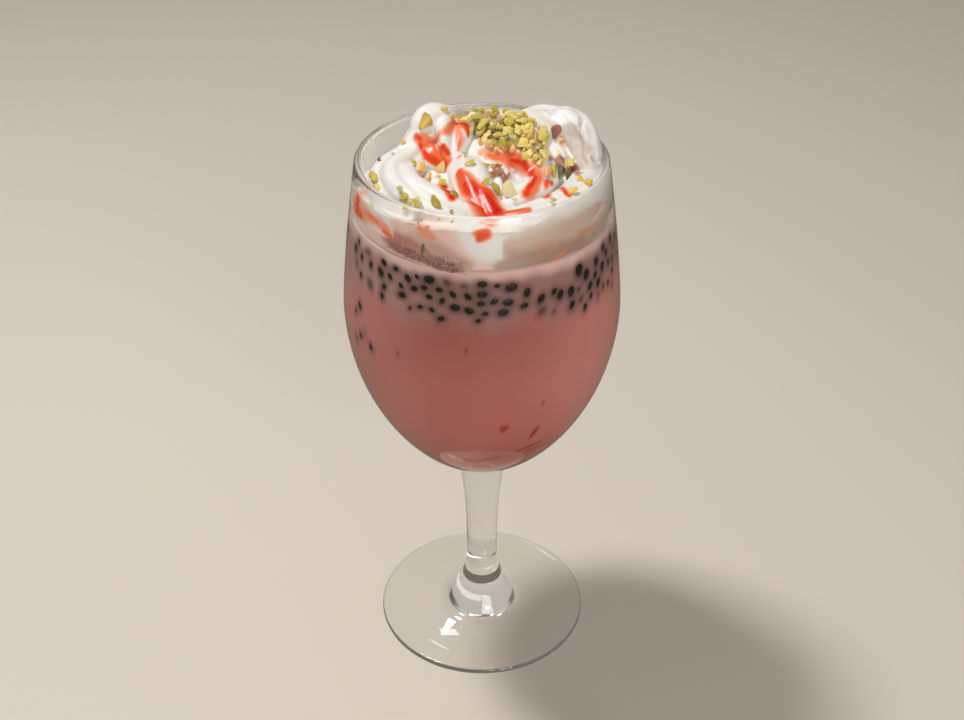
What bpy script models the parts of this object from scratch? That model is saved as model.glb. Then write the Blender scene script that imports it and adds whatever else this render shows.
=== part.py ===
"""Falooda in a stemmed glass: rose milk, a layer with basil seeds, piped whipped cream and chopped pistachios.

The glass stands on the XY plane with its axis on +Z. The side that is seen first faces -Y.
"""

import math
import random

import bmesh
import bpy
import numpy as np
from mathutils import Vector
from mathutils.bvhtree import BVHTree

MM = 0.001
SEGMENTS = 48
GAP = 0.3 * MM

# Glass: heights above the table and outer radii
HEIGHT = 165 * MM
RIM_R = 34.4 * MM
BOWL_R = 39.5 * MM
WIDEST_Z = 120 * MM
BOWL_TIP_Z = 61.5 * MM
BOWL_JOINT_Z = 63.4 * MM
WALL = 1.8 * MM
INNER_TIP_Z = 66.2 * MM
LOWER_POWER, LOWER_ROOT = 1.93, 1.7
UPPER_POWER = 1.35
STEM_R = 4.85 * MM
STEM_WAIST_Z = 27 * MM
STEM_FLARE = 2.85 * MM
STEM_FLARE_POWER = 2.6
FOOT_R = 32.9 * MM
FOOT_EDGE = 2.0 * MM
FOOT_SLOPE = 0.1
FOOT_FILLET_Z = 22 * MM
FOOT_FILLET_R = 3.85 * MM
FOOT_FILLET_SPAN = 12 * MM
FOOT_FILLET_POWER = 1.88
REST_OUTER_R = 30.5 * MM
REST_INNER_R = 26 * MM
FOOT_HOLLOW = 1.6 * MM

# Fill levels
SEED_LAYER_Z = 136.4 * MM
MILK_TOP_Z = 149.8 * MM

# Whipped cream: a bed on the milk, a low dome at its middle, and a pocket beside the glass at the back left.
# A rope's end ring is a share of its radius, and its tip stands that share of its radius beyond
CREAM_BASE_Z = MILK_TOP_Z + GAP
CREAM_CEILING_Z = 185 * MM
BED_TOP_Z = 160.2 * MM
DOME_HEIGHT, DOME_R = 4.2 * MM, 24 * MM
RISE_ANGLE, RISE_WIDTH, RISE_HEIGHT = math.radians(-20), math.radians(75), 1.6 * MM
POCKET_ANGLE, POCKET_WIDTH = math.radians(152), math.radians(62)
POCKET_DEPTH = 5.5 * MM
POCKET_START = 0.45
RIPPLE, RIPPLES, RIPPLE_TWIST = 0.5 * MM, 5, 4
BED_OVERLAP = 1 * MM
BED_COLUMNS = 32
BED_SHARES = (0.25, 0.5, 0.75, 1.0)
ROPE_RINGS = 10
ROPE_END_SHARE = 0.62
ROPE_TIP = 0.55
RIDGES = 7

# Each rope of cream: points of its centreline with the rope's radius there, all in mm, then the depth of its
# ridges as a share of the radius and its twist in turns
ROPES = {
    "left_lobe": ([(-14.5, 10.5, 169, 4.6), (-16.4, 6.8, 166.6, 4.2), (-19.4, 2.0, 162.4, 5.2),
                   (-23, -4.8, 159.6, 7.2), (-20.4, -13, 158.8, 7.4), (-12.5, -20.2, 158.3, 7),
                   (-3, -24, 157.2, 6), (3.5, -25, 155.8, 4.2)], 0.16, 0.35),
    "left_knob": ([(-9, 12, 166.4, 4.6), (-12.6, 11.6, 169.4, 5.2), (-15, 9, 169.4, 4.8), (-16, 5.5, 167.6, 3.6)],
                  0.06, 0.2),
    "star": ([(-7.6, 17, 160, 8.2), (-9.2, 11, 162.8, 8.9), (-9, 5, 164, 7.2), (-8.4, 0, 163.6, 4.4),
              (-7.8, -3.2, 162.4, 1.6)], 0.42, 0.1),
    "star_fold": ([(-16.6, 8, 164.4, 2.2), (-14.6, 3.6, 164.6, 3), (-12.2, 0.2, 163.6, 3), (-9, -2.4, 161.6, 2)],
                  0.1, 0.0),
    "second_lobe": ([(-6.4, -0.6, 161, 4), (-4, -5.5, 162.1, 5.4), (-2.2, -11.5, 160.8, 6), (0.3, -18, 159.2, 5.8),
                     (3, -24.5, 157.6, 5.2)], 0.07, 0.15),
    "nut_ridge": ([(-2, 6, 163, 4.5), (1, -1, 163, 4.5), (4.5, -8, 161.5, 4.2), (6.5, -14, 159.5, 4)], 0.08, 0.1),
    "nut_mound": ([(-3, 14, 161.5, 6), (4, 12, 163.2, 7), (11, 9, 163.4, 6.6), (16, 4, 161.5, 5)], 0.05, 0.1),
    "third_lobe": ([(1.4, 2.5, 163.5, 4.6), (7.5, 0.8, 165.2, 4.8), (13, -3.6, 165, 5), (15.3, -9, 163, 5),
                    (13.2, -14, 161, 4.9), (8.4, -17.5, 159.4, 4.7), (4.5, -20.5, 157.5, 4.2)], 0.1, 0.3),
    "right_ridge": ([(12, 14, 163.5, 5), (17.3, 10, 165.4, 4.8), (21.4, 5.2, 164.2, 4.8), (24.6, 0.6, 162, 4.8),
                     (26.5, -5, 159.5, 4.8), (25.5, -11, 157.5, 4.4)], 0.34, 0.1),
    "right_curl": ([(9, 19.5, 161.5, 6), (15, 17, 165.4, 5.6), (20.6, 12.2, 168, 5.8), (25, 7.6, 168, 5.6),
                    (27.5, 4.4, 165.4, 4.9), (27.4, 1.4, 162.2, 4.2)], 0.1, 0.25),
    "right_peak": ([(14.6, 18, 167, 3.8), (16, 15.6, 170, 2.8), (16.6, 14.4, 172.6, 1.2)], 0.12, 0.0),
    "back_lobe": ([(-13, 20, 156, 5.5), (-6, 22, 158.4, 7), (5, 23, 159.6, 7.2), (15, 20, 159.4, 7),
                   (23, 13, 158, 6.6)], 0.12, 0.2),
    "right_lobe": ([(4, -27, 156.8, 5), (14, -25.4, 158, 6), (22.4, -19.4, 158.8, 6.2), (27.6, -10.6, 159, 6),
                    (29, 0, 158.4, 5.6)], 0.12, 0.2),
}

# Thick syrup lying on the second and third lobes, given as the ropes are
DRIZZLES = {
    "second_syrup": ([(-4, -4.6, 165.4, 1.8), (-2, -10.4, 164.6, 2.8), (1, -16.4, 162.2, 3.2),
                      (3.6, -22, 159.6, 2.8), (3.4, -27, 157.6, 2.2)], 0.0, 0.0),
    "third_syrup": ([(2.4, 1.8, 166.2, 1.8), (8, -0.6, 167.6, 2.4), (12.2, -5.4, 166.6, 2.6),
                     (13, -10.4, 164.4, 2.4), (10.6, -14, 162, 1.8)], 0.0, 0.0),
}

# Chopped pistachios: a heap behind the middle, and others strewn over the cream
HEAP_CENTRE = (5 * MM, 9.5 * MM)
HEAP_HALF = (14.5 * MM, 9.5 * MM)
HEAP_COUNT = 52
SCATTER_COUNT = 30
NUT_SIZE = (2.8 * MM, 5.4 * MM)
NUT_RISE = 0.12
NUT_CLEAR = 1.2 * MM
NUT_FLOOR_Z, NUT_CEILING_Z = 158.5 * MM, 171 * MM
NUT_POINTS = 8
NUT_STRETCH = ((0.8, 1.0), (0.55, 0.8), (0.4, 0.65))
NUT_BUMPS = (0.85, 1.1)
NUT_SEED = 11
SCATTER_MARGIN = 3 * MM
SCATTER_APART = 1.3 * NUT_SIZE[0]
SCATTER_SHARE = (0.7, 0.9)
GOLDEN_ANGLE = math.pi * (3 - math.sqrt(5))


def outer_radius(z):
    """The bowl's outer radius: an egg-shaped cup below its widest ring, easing in to the rim above it."""
    if z < WIDEST_Z:
        t = min(1.0, (WIDEST_Z - z) / (WIDEST_Z - BOWL_TIP_Z))
        return BOWL_R * (1 - t**LOWER_POWER) ** (1 / LOWER_ROOT)
    u = (z - WIDEST_Z) / (HEIGHT - WIDEST_Z)
    return BOWL_R - (BOWL_R - RIM_R) * u**UPPER_POWER


def inner_radius(z):
    """The bowl's inner radius, a wall's thickness inside the outer one and thicker towards the stem."""
    if z < WIDEST_Z:
        t = min(1.0, (WIDEST_Z - z) / (WIDEST_Z - INNER_TIP_Z))
        return (BOWL_R - WALL) * (1 - t**LOWER_POWER) ** (1 / LOWER_ROOT)
    return outer_radius(z) - WALL


def stem_radius(z):
    if z < FOOT_FILLET_Z:
        return STEM_R + FOOT_FILLET_R * ((FOOT_FILLET_Z - z) / FOOT_FILLET_SPAN) ** FOOT_FILLET_POWER
    rise = max(0.0, (z - STEM_WAIST_Z) / (BOWL_JOINT_Z - STEM_WAIST_Z))
    return STEM_R + STEM_FLARE * rise**STEM_FLARE_POWER


def steps(low, high, count):
    return [low + (high - low) * i / (count - 1) for i in range(count)]


def eased(low, high, count):
    """Values from low to high, packed closer towards low."""
    return [low + (high - low) * (1 - math.cos(math.pi / 2 * i / (count - 1))) for i in range(count)]


def arc(centre, radius, start, end, count):
    """Points (r, z) on an arc, from one angle in degrees to another."""
    return [
        (centre[0] + radius * math.cos(math.radians(a)), centre[1] + radius * math.sin(math.radians(a)))
        for a in steps(start, end, count)
    ]


def glass_profile():
    """The goblet's section from the middle of its underside, out round the foot, up and back down inside."""
    under = [(r, FOOT_HOLLOW * (1 - (r / REST_INNER_R) ** 2)) for r in steps(0, REST_INNER_R, 5)]
    edge_r = FOOT_EDGE / 2
    edge = arc((FOOT_R - edge_r, edge_r), edge_r, -90, 70, 5)
    cone_end_r = stem_radius(5 * MM)
    cone = [
        (r, FOOT_EDGE + FOOT_SLOPE * (FOOT_R - edge_r - r))
        for r in steps(FOOT_R - 4 * edge_r, cone_end_r + 3 * MM, 3)
    ]
    stem = [(stem_radius(z), z) for z in steps(5.5 * MM, FOOT_FILLET_Z, 6)]
    stem += [(stem_radius(z), z) for z in steps(STEM_WAIST_Z + 8 * MM, BOWL_JOINT_Z, 5)]
    cup = [(outer_radius(z), z) for z in eased(BOWL_JOINT_Z + 0.9 * MM, WIDEST_Z, 10)]
    cup += [(outer_radius(z), z) for z in steps(WIDEST_Z, HEIGHT - WALL / 2, 5)[1:]]
    rim = arc((RIM_R - WALL / 2, HEIGHT - WALL / 2), WALL / 2, 30, 180, 4)
    inside = [(inner_radius(z), z) for z in reversed(steps(WIDEST_Z, HEIGHT - WALL, 5))]
    inside += [(inner_radius(z), z) for z in reversed(eased(INNER_TIP_Z, WIDEST_Z, 10)[:-1])]
    inside[-1] = (0.0, INNER_TIP_Z)
    return under + [(REST_OUTER_R, 0.0)] + edge + cone + stem + cup + rim + inside


def liquid_profile(low, high, count):
    """A layer of drink between two heights, clear of the glass, as the section of a closed turned solid."""
    wall = [(inner_radius(z) - GAP, z) for z in steps(low, high, count)]
    return [(0.0, low)] + wall + [(0.0, high)]


def milk_profile():
    low = INNER_TIP_Z + 1.2 * GAP
    wall = [(max(0.0, inner_radius(z - GAP) - GAP), z) for z in eased(low, WIDEST_Z, 10)]
    wall += [(inner_radius(z) - GAP, z) for z in steps(WIDEST_Z, SEED_LAYER_Z - GAP, 3)[1:]]
    return [(0.0, low)] + wall[1:] + [(0.0, SEED_LAYER_Z - GAP)]


def material(name, colour, roughness, transmission=0.0):
    made = bpy.data.materials.new(name)
    made.use_nodes = True
    shader = made.node_tree.nodes["Principled BSDF"]
    shader.inputs["Base Color"].default_value = (*colour, 1)
    shader.inputs["Roughness"].default_value = roughness
    shader.inputs["Metallic"].default_value = 0.0
    shader.inputs["Transmission Weight"].default_value = transmission
    return made


def add_object(name, bm, finish=None):
    mesh = bpy.data.meshes.new(name)
    bmesh.ops.recalc_face_normals(bm, faces=bm.faces)
    bm.to_mesh(mesh)
    bm.free()
    obj = bpy.data.objects.new(name, mesh)
    bpy.context.scene.collection.objects.link(obj)
    if finish:
        mesh.materials.append(finish)
    return obj


def turned(name, profile, finish=None):
    """A solid of revolution about Z from a section that starts and ends on the axis."""
    bm = bmesh.new()
    verts = [bm.verts.new((r, 0, z)) for r, z in profile]
    edges = [bm.edges.new(pair) for pair in zip(verts, verts[1:])]
    bmesh.ops.spin(bm, geom=verts + edges, cent=(0, 0, 0), axis=(0, 0, 1), angle=2 * math.pi, steps=SEGMENTS,
                   use_merge=True)
    bmesh.ops.remove_doubles(bm, verts=bm.verts, dist=0.01 * MM)
    obj = add_object(name, bm, finish)
    obj.data.shade_smooth()
    obj.data.set_sharp_from_angle(angle=math.radians(40))
    return obj


def smooth_curve(points, count):
    """Points of a Catmull-Rom curve through the given ones, evenly spaced in its parameter."""
    ends = [2 * points[0] - points[1]] + list(points) + [2 * points[-1] - points[-2]]
    curve = []
    for i in range(count):
        place = (len(points) - 1) * i / (count - 1)
        k = min(int(place), len(points) - 2)
        t = place - k
        a, b, c, d = ends[k : k + 4]
        curve.append(0.5 * (2 * b + (c - a) * t + (2 * a - 5 * b + 4 * c - d) * t**2 + (3 * b - a - 3 * c + d) * t**3))
    return curve


def add_rope(bm, points, depth, turns):
    """A rope of piped cream with rounded ends, as a closed tube with ridges along it."""
    curve = smooth_curve([np.array(p, float) * MM for p in points], ROPE_RINGS)
    sides = 2 * RIDGES
    side = Vector((0, 0, 1))
    rings = []
    for i, here in enumerate(curve):
        before, after = curve[max(i - 1, 0)], curve[min(i + 1, ROPE_RINGS - 1)]
        along = Vector(after[:3] - before[:3]).normalized()
        side = (side - along * side.dot(along)).normalized()
        other = along.cross(side)
        end = min(i, ROPE_RINGS - 1 - i)
        radius = here[3] * (ROPE_END_SHARE if end == 0 else 1.0)
        ring = []
        for j in range(sides):
            angle = 2 * math.pi * (j / sides + turns * i / (ROPE_RINGS - 1))
            reach = radius * (1 + depth * (0.5 if j % 2 == 0 else -0.5))
            ring.append(bm.verts.new(Vector(here[:3]) + (side * math.cos(angle) + other * math.sin(angle)) * reach))
        rings.append(ring)
        if i in (0, ROPE_RINGS - 1):
            tip = Vector(here[:3]) + along * here[3] * (ROPE_TIP if i else -ROPE_TIP)
            rings.append(bm.verts.new(tip))
    tips = [r for r in rings if isinstance(r, bmesh.types.BMVert)]
    loops = [r for r in rings if not isinstance(r, bmesh.types.BMVert)]
    for low, high in zip(loops, loops[1:]):
        for j in range(sides):
            k = (j + 1) % sides
            bm.faces.new((low[j], low[k], high[k], high[j]))
    for tip, loop in zip(tips, (loops[0], loops[-1])):
        for j in range(sides):
            bm.faces.new((tip, loop[j], loop[(j + 1) % sides]))


def bump(angle, centre, width):
    """1 at the centre angle, easing to 0 a width away from it."""
    off = abs((angle - centre + math.pi) % (2 * math.pi) - math.pi)
    return 0.5 + 0.5 * math.cos(math.pi * min(1.0, off / width))


def bed_height(share, angle):
    """The height of the bed's top at a share of the way out to the glass."""
    dome = DOME_HEIGHT * (0.5 + 0.5 * math.cos(math.pi * min(1.0, share * RIM_R / DOME_R)))
    near_glass = max(0.0, (share - POCKET_START) / (1 - POCKET_START))
    pocket = POCKET_DEPTH * bump(angle, POCKET_ANGLE, POCKET_WIDTH) * min(1.0, 2 * near_glass)
    rise = RISE_HEIGHT * bump(angle, RISE_ANGLE, RISE_WIDTH) * share
    ripple = RIPPLE * share * math.sin(RIPPLES * angle + RIPPLE_TWIST * share)
    return BED_TOP_Z + dome - pocket + rise + ripple


def base_bed():
    """The bed of cream on the milk, out to the glass, with its dome and its pocket."""
    bm = bmesh.new()
    reach = inner_radius(BED_TOP_Z) + BED_OVERLAP
    low_z = CREAM_BASE_Z - BED_OVERLAP
    loops = []
    for share in BED_SHARES:
        loop = []
        for j in range(BED_COLUMNS):
            angle = 2 * math.pi * j / BED_COLUMNS
            r = share * reach
            loop.append(bm.verts.new((r * math.cos(angle), r * math.sin(angle), bed_height(share, angle))))
        loops.append(loop)
    floor = [bm.verts.new((v.co.x, v.co.y, low_z)) for v in loops[-1]]
    loops.append(floor)
    top = bm.verts.new((0, 0, bed_height(0, 0)))
    low = bm.verts.new((0, 0, low_z))
    for inner, outer in zip(loops, loops[1:]):
        for j in range(BED_COLUMNS):
            k = (j + 1) % BED_COLUMNS
            bm.faces.new((inner[j], outer[j], outer[k], inner[k]))
    for j in range(BED_COLUMNS):
        k = (j + 1) % BED_COLUMNS
        bm.faces.new((top, loops[0][j], loops[0][k]))
        bm.faces.new((low, floor[k], floor[j]))
    return add_object("base_bed", bm)


def vessel_space():
    """The space that the cream may fill: inside the glass, clear of its wall, and on up above the rim."""
    wall = [(inner_radius(z) - GAP, z) for z in steps(CREAM_BASE_Z, HEIGHT - WALL, 4)]
    mouth_r = RIM_R - WALL - GAP
    profile = [(0.0, CREAM_BASE_Z)] + wall + [(mouth_r, HEIGHT - WALL / 2), (mouth_r, CREAM_CEILING_Z)]
    return turned("vessel_space", profile + [(0.0, CREAM_CEILING_Z)])


def joined(obj, others, operation):
    """Applies one Boolean of obj with other objects, which are then removed."""
    group = bpy.data.collections.new("cutters")
    bpy.context.scene.collection.children.link(group)
    for other in others:
        for holder in list(other.users_collection):
            holder.objects.unlink(other)
        group.objects.link(other)
    cut = obj.modifiers.new("Boolean", "BOOLEAN")
    cut.operation = operation
    cut.operand_type = "COLLECTION"
    cut.collection = group
    cut.solver = "MANIFOLD"
    graph = bpy.context.evaluated_depsgraph_get()
    made = bpy.data.meshes.new_from_object(obj.evaluated_get(graph))
    obj.modifiers.clear()
    obj.data = made
    for other in others:
        bpy.data.objects.remove(other)
    bpy.data.collections.remove(group)
    return obj


def keep_largest_shell(obj):
    """Drops loose scraps and sealed hollows, which are the smaller connected shells."""
    bm = bmesh.new()
    bm.from_mesh(obj.data)
    left, shells = set(bm.verts), []
    while left:
        front, shell = [left.pop()], []
        while front:
            v = front.pop()
            shell.append(v)
            for e in v.link_edges:
                w = e.other_vert(v)
                if w in left:
                    left.remove(w)
                    front.append(w)
        shells.append(shell)
    shells.sort(key=len)
    bmesh.ops.delete(bm, geom=[v for shell in shells[:-1] for v in shell], context="VERTS")
    bm.to_mesh(obj.data)
    bm.free()


def nut_places(rng):
    """Where the chopped nuts lie, as (x, y, size): most in a heap behind the middle, the rest strewn round it."""
    places = []
    for i in range(HEAP_COUNT):
        angle = i * GOLDEN_ANGLE
        share = math.sqrt((i + 0.5) / HEAP_COUNT)
        x = HEAP_CENTRE[0] + HEAP_HALF[0] * share * math.cos(angle)
        y = HEAP_CENTRE[1] + HEAP_HALF[1] * share * math.sin(angle)
        places.append((x, y, rng.uniform(*NUT_SIZE)))
    while len(places) < HEAP_COUNT + SCATTER_COUNT:
        angle, share = rng.uniform(0, 2 * math.pi), math.sqrt(rng.random())
        r = share * (RIM_R - WALL - SCATTER_MARGIN)
        x, y = r * math.cos(angle), r * math.sin(angle)
        if all(math.hypot(x - p[0], y - p[1]) > SCATTER_APART for p in places):
            places.append((x, y, rng.uniform(*SCATTER_SHARE) * NUT_SIZE[1]))
    return places


def nut(rng, name, place, size):
    """One chopped piece: the hull of a few points on a squashed ball, turned at random."""
    bm = bmesh.new()
    spin = Vector((rng.uniform(-1, 1), rng.uniform(-1, 1), rng.uniform(-1, 1))).to_track_quat("Z", "Y")
    stretch = [rng.uniform(*span) for span in NUT_STRETCH]
    for i in range(NUT_POINTS):
        height = 1 - 2 * (i + 0.5) / NUT_POINTS
        angle = i * GOLDEN_ANGLE + rng.uniform(-0.4, 0.4)
        ring = math.sqrt(1 - height**2)
        p = Vector((ring * math.cos(angle), ring * math.sin(angle), height)) * rng.uniform(*NUT_BUMPS)
        p = spin @ Vector(a * b for a, b in zip(p, stretch))
        bm.verts.new(place + p * size / 2)
    hull = bmesh.ops.convex_hull(bm, input=bm.verts)
    inside = [v for v in hull["geom_interior"] + hull["geom_unused"] if isinstance(v, bmesh.types.BMVert)]
    bmesh.ops.delete(bm, geom=inside, context="VERTS")
    return add_object(name, bm)


def nuts_on(cream):
    """The chopped nuts, resting on the cream and a little sunk in it."""
    graph = bpy.context.evaluated_depsgraph_get()
    surface = BVHTree.FromObject(cream, graph)
    rng = random.Random(NUT_SEED)
    made = []
    for i, (x, y, size) in enumerate(nut_places(rng)):
        hit, normal, _, _ = surface.ray_cast(Vector((x, y, CREAM_CEILING_Z)), Vector((0, 0, -1)))
        room = RIM_R - WALL - NUT_CLEAR - size / 2
        if hit is None or not NUT_FLOOR_Z < hit.z < NUT_CEILING_Z or math.hypot(x, y) > room:
            continue
        place = hit + normal * size * NUT_RISE
        made.append(nut(rng, f"nut_{i:03d}", place, size))
    return made


def whipped_cream(finish):
    bed = base_bed()
    ropes = []
    for name, (points, depth, turns) in {**ROPES, **DRIZZLES}.items():
        bm = bmesh.new()
        add_rope(bm, points, depth, turns)
        ropes.append(add_object(name, bm))
    cream = joined(bed, ropes, "UNION")
    cream = joined(cream, nuts_on(cream), "UNION")
    cream = joined(cream, [vessel_space()], "INTERSECT")
    keep_largest_shell(cream)
    cream.name = cream.data.name = "whipped_cream"
    cream.data.materials.clear()
    cream.data.materials.append(finish)
    return cream


def main():
    for obj in list(bpy.data.objects):
        bpy.data.objects.remove(obj)
    clear = material("glass", (0.95, 0.97, 0.97), 0.02, transmission=1.0)
    pink = material("rose_milk", (0.55, 0.22, 0.18), 0.25)
    pale = material("seed_layer", (0.56, 0.40, 0.36), 0.25)
    white = material("whipped_cream", (0.93, 0.90, 0.86), 0.45)
    turned("glass", glass_profile(), clear)
    turned("rose_milk", milk_profile(), pink)
    turned("seed_layer", liquid_profile(SEED_LAYER_Z, MILK_TOP_Z, 5), pale)
    whipped_cream(white)


main()
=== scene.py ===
"""Looks of a falooda: pink milk with basil seeds under whipped cream, red syrup and chopped pistachios."""
import math
import random

import bmesh
import bpy
import numpy as np
from mathutils import Matrix, Vector, kdtree, noise
from mathutils.bvhtree import BVHTree


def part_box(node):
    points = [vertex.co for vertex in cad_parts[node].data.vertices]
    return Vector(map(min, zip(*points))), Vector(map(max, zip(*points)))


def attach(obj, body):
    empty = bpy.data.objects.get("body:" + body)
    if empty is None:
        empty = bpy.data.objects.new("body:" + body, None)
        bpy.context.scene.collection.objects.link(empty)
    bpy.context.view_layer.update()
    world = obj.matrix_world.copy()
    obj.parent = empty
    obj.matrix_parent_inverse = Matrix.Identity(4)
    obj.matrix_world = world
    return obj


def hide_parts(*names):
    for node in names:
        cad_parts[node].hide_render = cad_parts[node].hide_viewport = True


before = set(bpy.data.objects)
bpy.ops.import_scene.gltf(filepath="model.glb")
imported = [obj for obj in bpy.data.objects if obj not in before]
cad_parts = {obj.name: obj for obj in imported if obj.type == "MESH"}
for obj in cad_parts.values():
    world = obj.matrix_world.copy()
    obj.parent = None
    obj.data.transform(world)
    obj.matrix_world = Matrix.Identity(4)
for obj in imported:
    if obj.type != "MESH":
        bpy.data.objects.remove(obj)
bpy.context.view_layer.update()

MM = 0.001
GOLDEN = (math.sqrt(5) - 1) / 2
ON_AXIS = 1e-7
SEED_DRAWS, FOAM_DRAWS, NUT_DRAWS = 5, 4, 21

# Camera: its place, tilt and focal length for a picture of 964 by 720 pixels
PICTURE = (964, 720)
CAMERA_AT = Vector((0.0, -351.8 * MM, 343.5 * MM))
CAMERA_DOWN = math.radians(34.9)
FOCAL_PX = 1452.8
SENSOR_MM = 36.0
LAMP_SEEN = (584, 336)

# How a view through the picture is followed to the glass: its steps, the most of them in the air and in the
# wall, and a start well clear of the glass
MARCH_STEP = 0.1 * MM
MARCH_LIMIT, IN_GLASS_STEPS = 4000, 400
CLEAR_OF_GLASS = 0.25

# Glass, from the frame's own box where it gives the size
GLASS_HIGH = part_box("glass")[1]
HEIGHT = GLASS_HIGH.z
BOWL_R = GLASS_HIGH.x
RIM_R = 34.4 * MM
WIDEST_Z = 120 * MM
BOWL_TIP_Z = 61.5 * MM
BOWL_JOINT_Z = 63.4 * MM
WALL = 1.8 * MM
INNER_TIP_Z = 66.2 * MM
LOWER_POWER, LOWER_ROOT = 1.93, 1.7
UPPER_POWER = 1.35
STEM_R = 4.85 * MM
STEM_LOW_Z = 5 * MM
STEM_WAIST_Z = 27 * MM
STEM_FLARE = 2.85 * MM
STEM_FLARE_POWER = 2.6
FOOT_R = 32.9 * MM
FOOT_EDGE = 2.0 * MM
FOOT_SLOPE = 0.1
CONE_GAP = 1.5 * MM
FOOT_FILLET_Z = 22 * MM
FOOT_FILLET_R = 3.85 * MM
FOOT_FILLET_SPAN = 12 * MM
FOOT_FILLET_POWER = 1.88
REST_OUTER_R = 30.5 * MM
REST_INNER_R = 26 * MM
FOOT_HOLLOW = 1.6 * MM
GLASS_TURN, LOWER_RINGS, UPPER_RINGS = 192, 46, 24
GLASS_IOR = 1.5
GLASS_TINT = (0.99, 0.988, 0.985, 1)
GLASS_CLEAR = (0.97, 0.972, 0.965, 1)
# Painted highlight on the rim, a pale diffuse band that is strongest at the front: its colour, its least and
# greatest share, how far below the top it starts and ends, and how far round from the front it reaches
RIM_HIGHLIGHT_COLOUR = (0.92, 0.91, 0.90, 1)
RIM_HIGHLIGHT_SHARE = (0.12, 0.75)
RIM_HIGHLIGHT_BAND = (0.35 * MM, 0.05 * MM)
RIM_HIGHLIGHT_WIDTH = math.radians(110)
GLASS_BOUNCES = 3.5
DRINK_TURN = 800
IN_WALL = 0.12 * MM

# Fill levels, how far the drink goes up into the cream, and up to where its rings lie wide apart
DRINK_TOP_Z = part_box("seed_layer")[1].z
CREAM_TOP_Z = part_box("whipped_cream")[1].z
UNDER_CREAM = 0.2 * MM
PLAIN_TOP_Z = 100 * MM

# Whipped cream, as the solid has it
BED_TOP_Z = 160.2 * MM
DOME_HEIGHT, DOME_R = 4.2 * MM, 24 * MM
RISE_ANGLE, RISE_WIDTH, RISE_HEIGHT = math.radians(-20), math.radians(75), 1.6 * MM
POCKET_ANGLE, POCKET_WIDTH = math.radians(152), math.radians(62)
POCKET_DEPTH = 5.5 * MM
POCKET_START = 0.45
BED_REACH = 1 * MM
BED_GRID = (60, 180)
RIDGES = 7
# Ropes of piped cream: points and the radius there in mm, then how deep the ridges are and how far they turn
ROPES = {
    "left_lobe": ([(-14.5, 10.5, 169, 4.6), (-16.4, 6.8, 166.6, 4.2), (-19.4, 2.0, 162.4, 5.2),
        (-23, -4.8, 159.6, 7.2), (-20.4, -13, 158.8, 7.4), (-12.5, -20.2, 158.3, 7), (-3, -24, 157.2, 6),
        (3.5, -25, 155.8, 4.2)], 0.16, 0.35),
    "left_knob": ([(-9, 12, 166.4, 4.6), (-12.6, 11.6, 169.4, 5.2), (-15, 9, 169.4, 4.8),
        (-16, 5.5, 167.6, 3.6)], 0.06, 0.2),
    "star": ([(-7.6, 17, 160, 8.2), (-9.2, 11, 162.8, 8.9), (-9, 5, 164, 7.2), (-8.4, 0, 163.6, 4.4),
        (-7.8, -3.2, 162.4, 1.6)], 0.42, 0.1),
    "star_fold": ([(-16.6, 8, 164.4, 2.2), (-14.6, 3.6, 164.6, 3), (-12.2, 0.2, 163.6, 3),
        (-9, -2.4, 161.6, 2)], 0.1, 0.0),
    "second_lobe": ([(-6.4, -0.6, 161, 4), (-4, -5.5, 162.1, 5.4), (-2.2, -11.5, 160.8, 6),
        (0.3, -18, 159.2, 5.8), (3, -24.5, 157.6, 5.2)], 0.07, 0.15),
    "nut_ridge": ([(-2, 6, 163, 4.5), (1, -1, 163, 4.5), (4.5, -8, 161.5, 4.2),
        (6.5, -14, 159.5, 4)], 0.08, 0.1),
    "nut_mound": ([(-3, 14, 161.5, 6), (4, 12, 163.2, 7), (11, 9, 163.4, 6.6),
        (16, 4, 161.5, 5)], 0.05, 0.1),
    "third_lobe": ([(1.4, 2.5, 163.5, 4.6), (7.5, 0.8, 165.2, 4.8), (13, -3.6, 165, 5), (15.3, -9, 163, 5),
        (13.2, -14, 161, 4.9), (8.4, -17.5, 159.4, 4.7), (4.5, -20.5, 157.5, 4.2)], 0.1, 0.3),
    "right_ridge": ([(12, 14, 163.5, 5), (17.3, 10, 165.4, 4.8), (21.4, 5.2, 164.2, 4.8),
        (24.6, 0.6, 162, 4.8), (26.5, -5, 159.5, 4.8), (25.5, -11, 157.5, 4.4)], 0.34, 0.1),
    "right_curl": ([(9, 19.5, 161.5, 6), (15, 17, 165.4, 5.6), (20.6, 12.2, 168, 5.8), (25, 7.6, 168, 5.6),
        (27.5, 4.4, 165.4, 4.9), (27.4, 1.4, 162.2, 4.2)], 0.1, 0.25),
    "right_peak": ([(14.6, 18, 167, 3.8), (16, 15.6, 170, 2.8), (16.6, 14.4, 172.6, 1.2)], 0.12, 0.0),
    "back_lobe": ([(-13, 20, 156, 5.5), (-6, 22, 158.4, 7), (5, 23, 159.6, 7.2), (15, 20, 159.4, 7),
        (23, 13, 158, 6.6)], 0.12, 0.2),
    "right_lobe": ([(4, -27, 156.8, 5), (14, -25.4, 158, 6), (22.4, -19.4, 158.8, 6.2),
        (27.6, -10.6, 159, 6), (29, 0, 158.4, 5.6)], 0.12, 0.2),
}
CREAM_VOXEL = 0.39 * MM
CREAM_SMOOTHING = 3
ROPE_SIDES, ROPE_RINGS, CAP_RINGS = 84, 70, 8
CAP_CLOSED = 0.02
GRAIN = ((5.0 * MM, 0.12 * MM), (1.6 * MM, 0.03 * MM))

FLOOR_R = 1.1
FLOOR_COLOUR = (0.80, 0.745, 0.67)
FLOOR_IN_GLOSS = (0.22, 0.19, 0.16)
FLOOR_SEEN_THROUGH = 0.88
FLOOR_SIDES = 96
FLOOR_Z = -0.05 * MM

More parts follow.
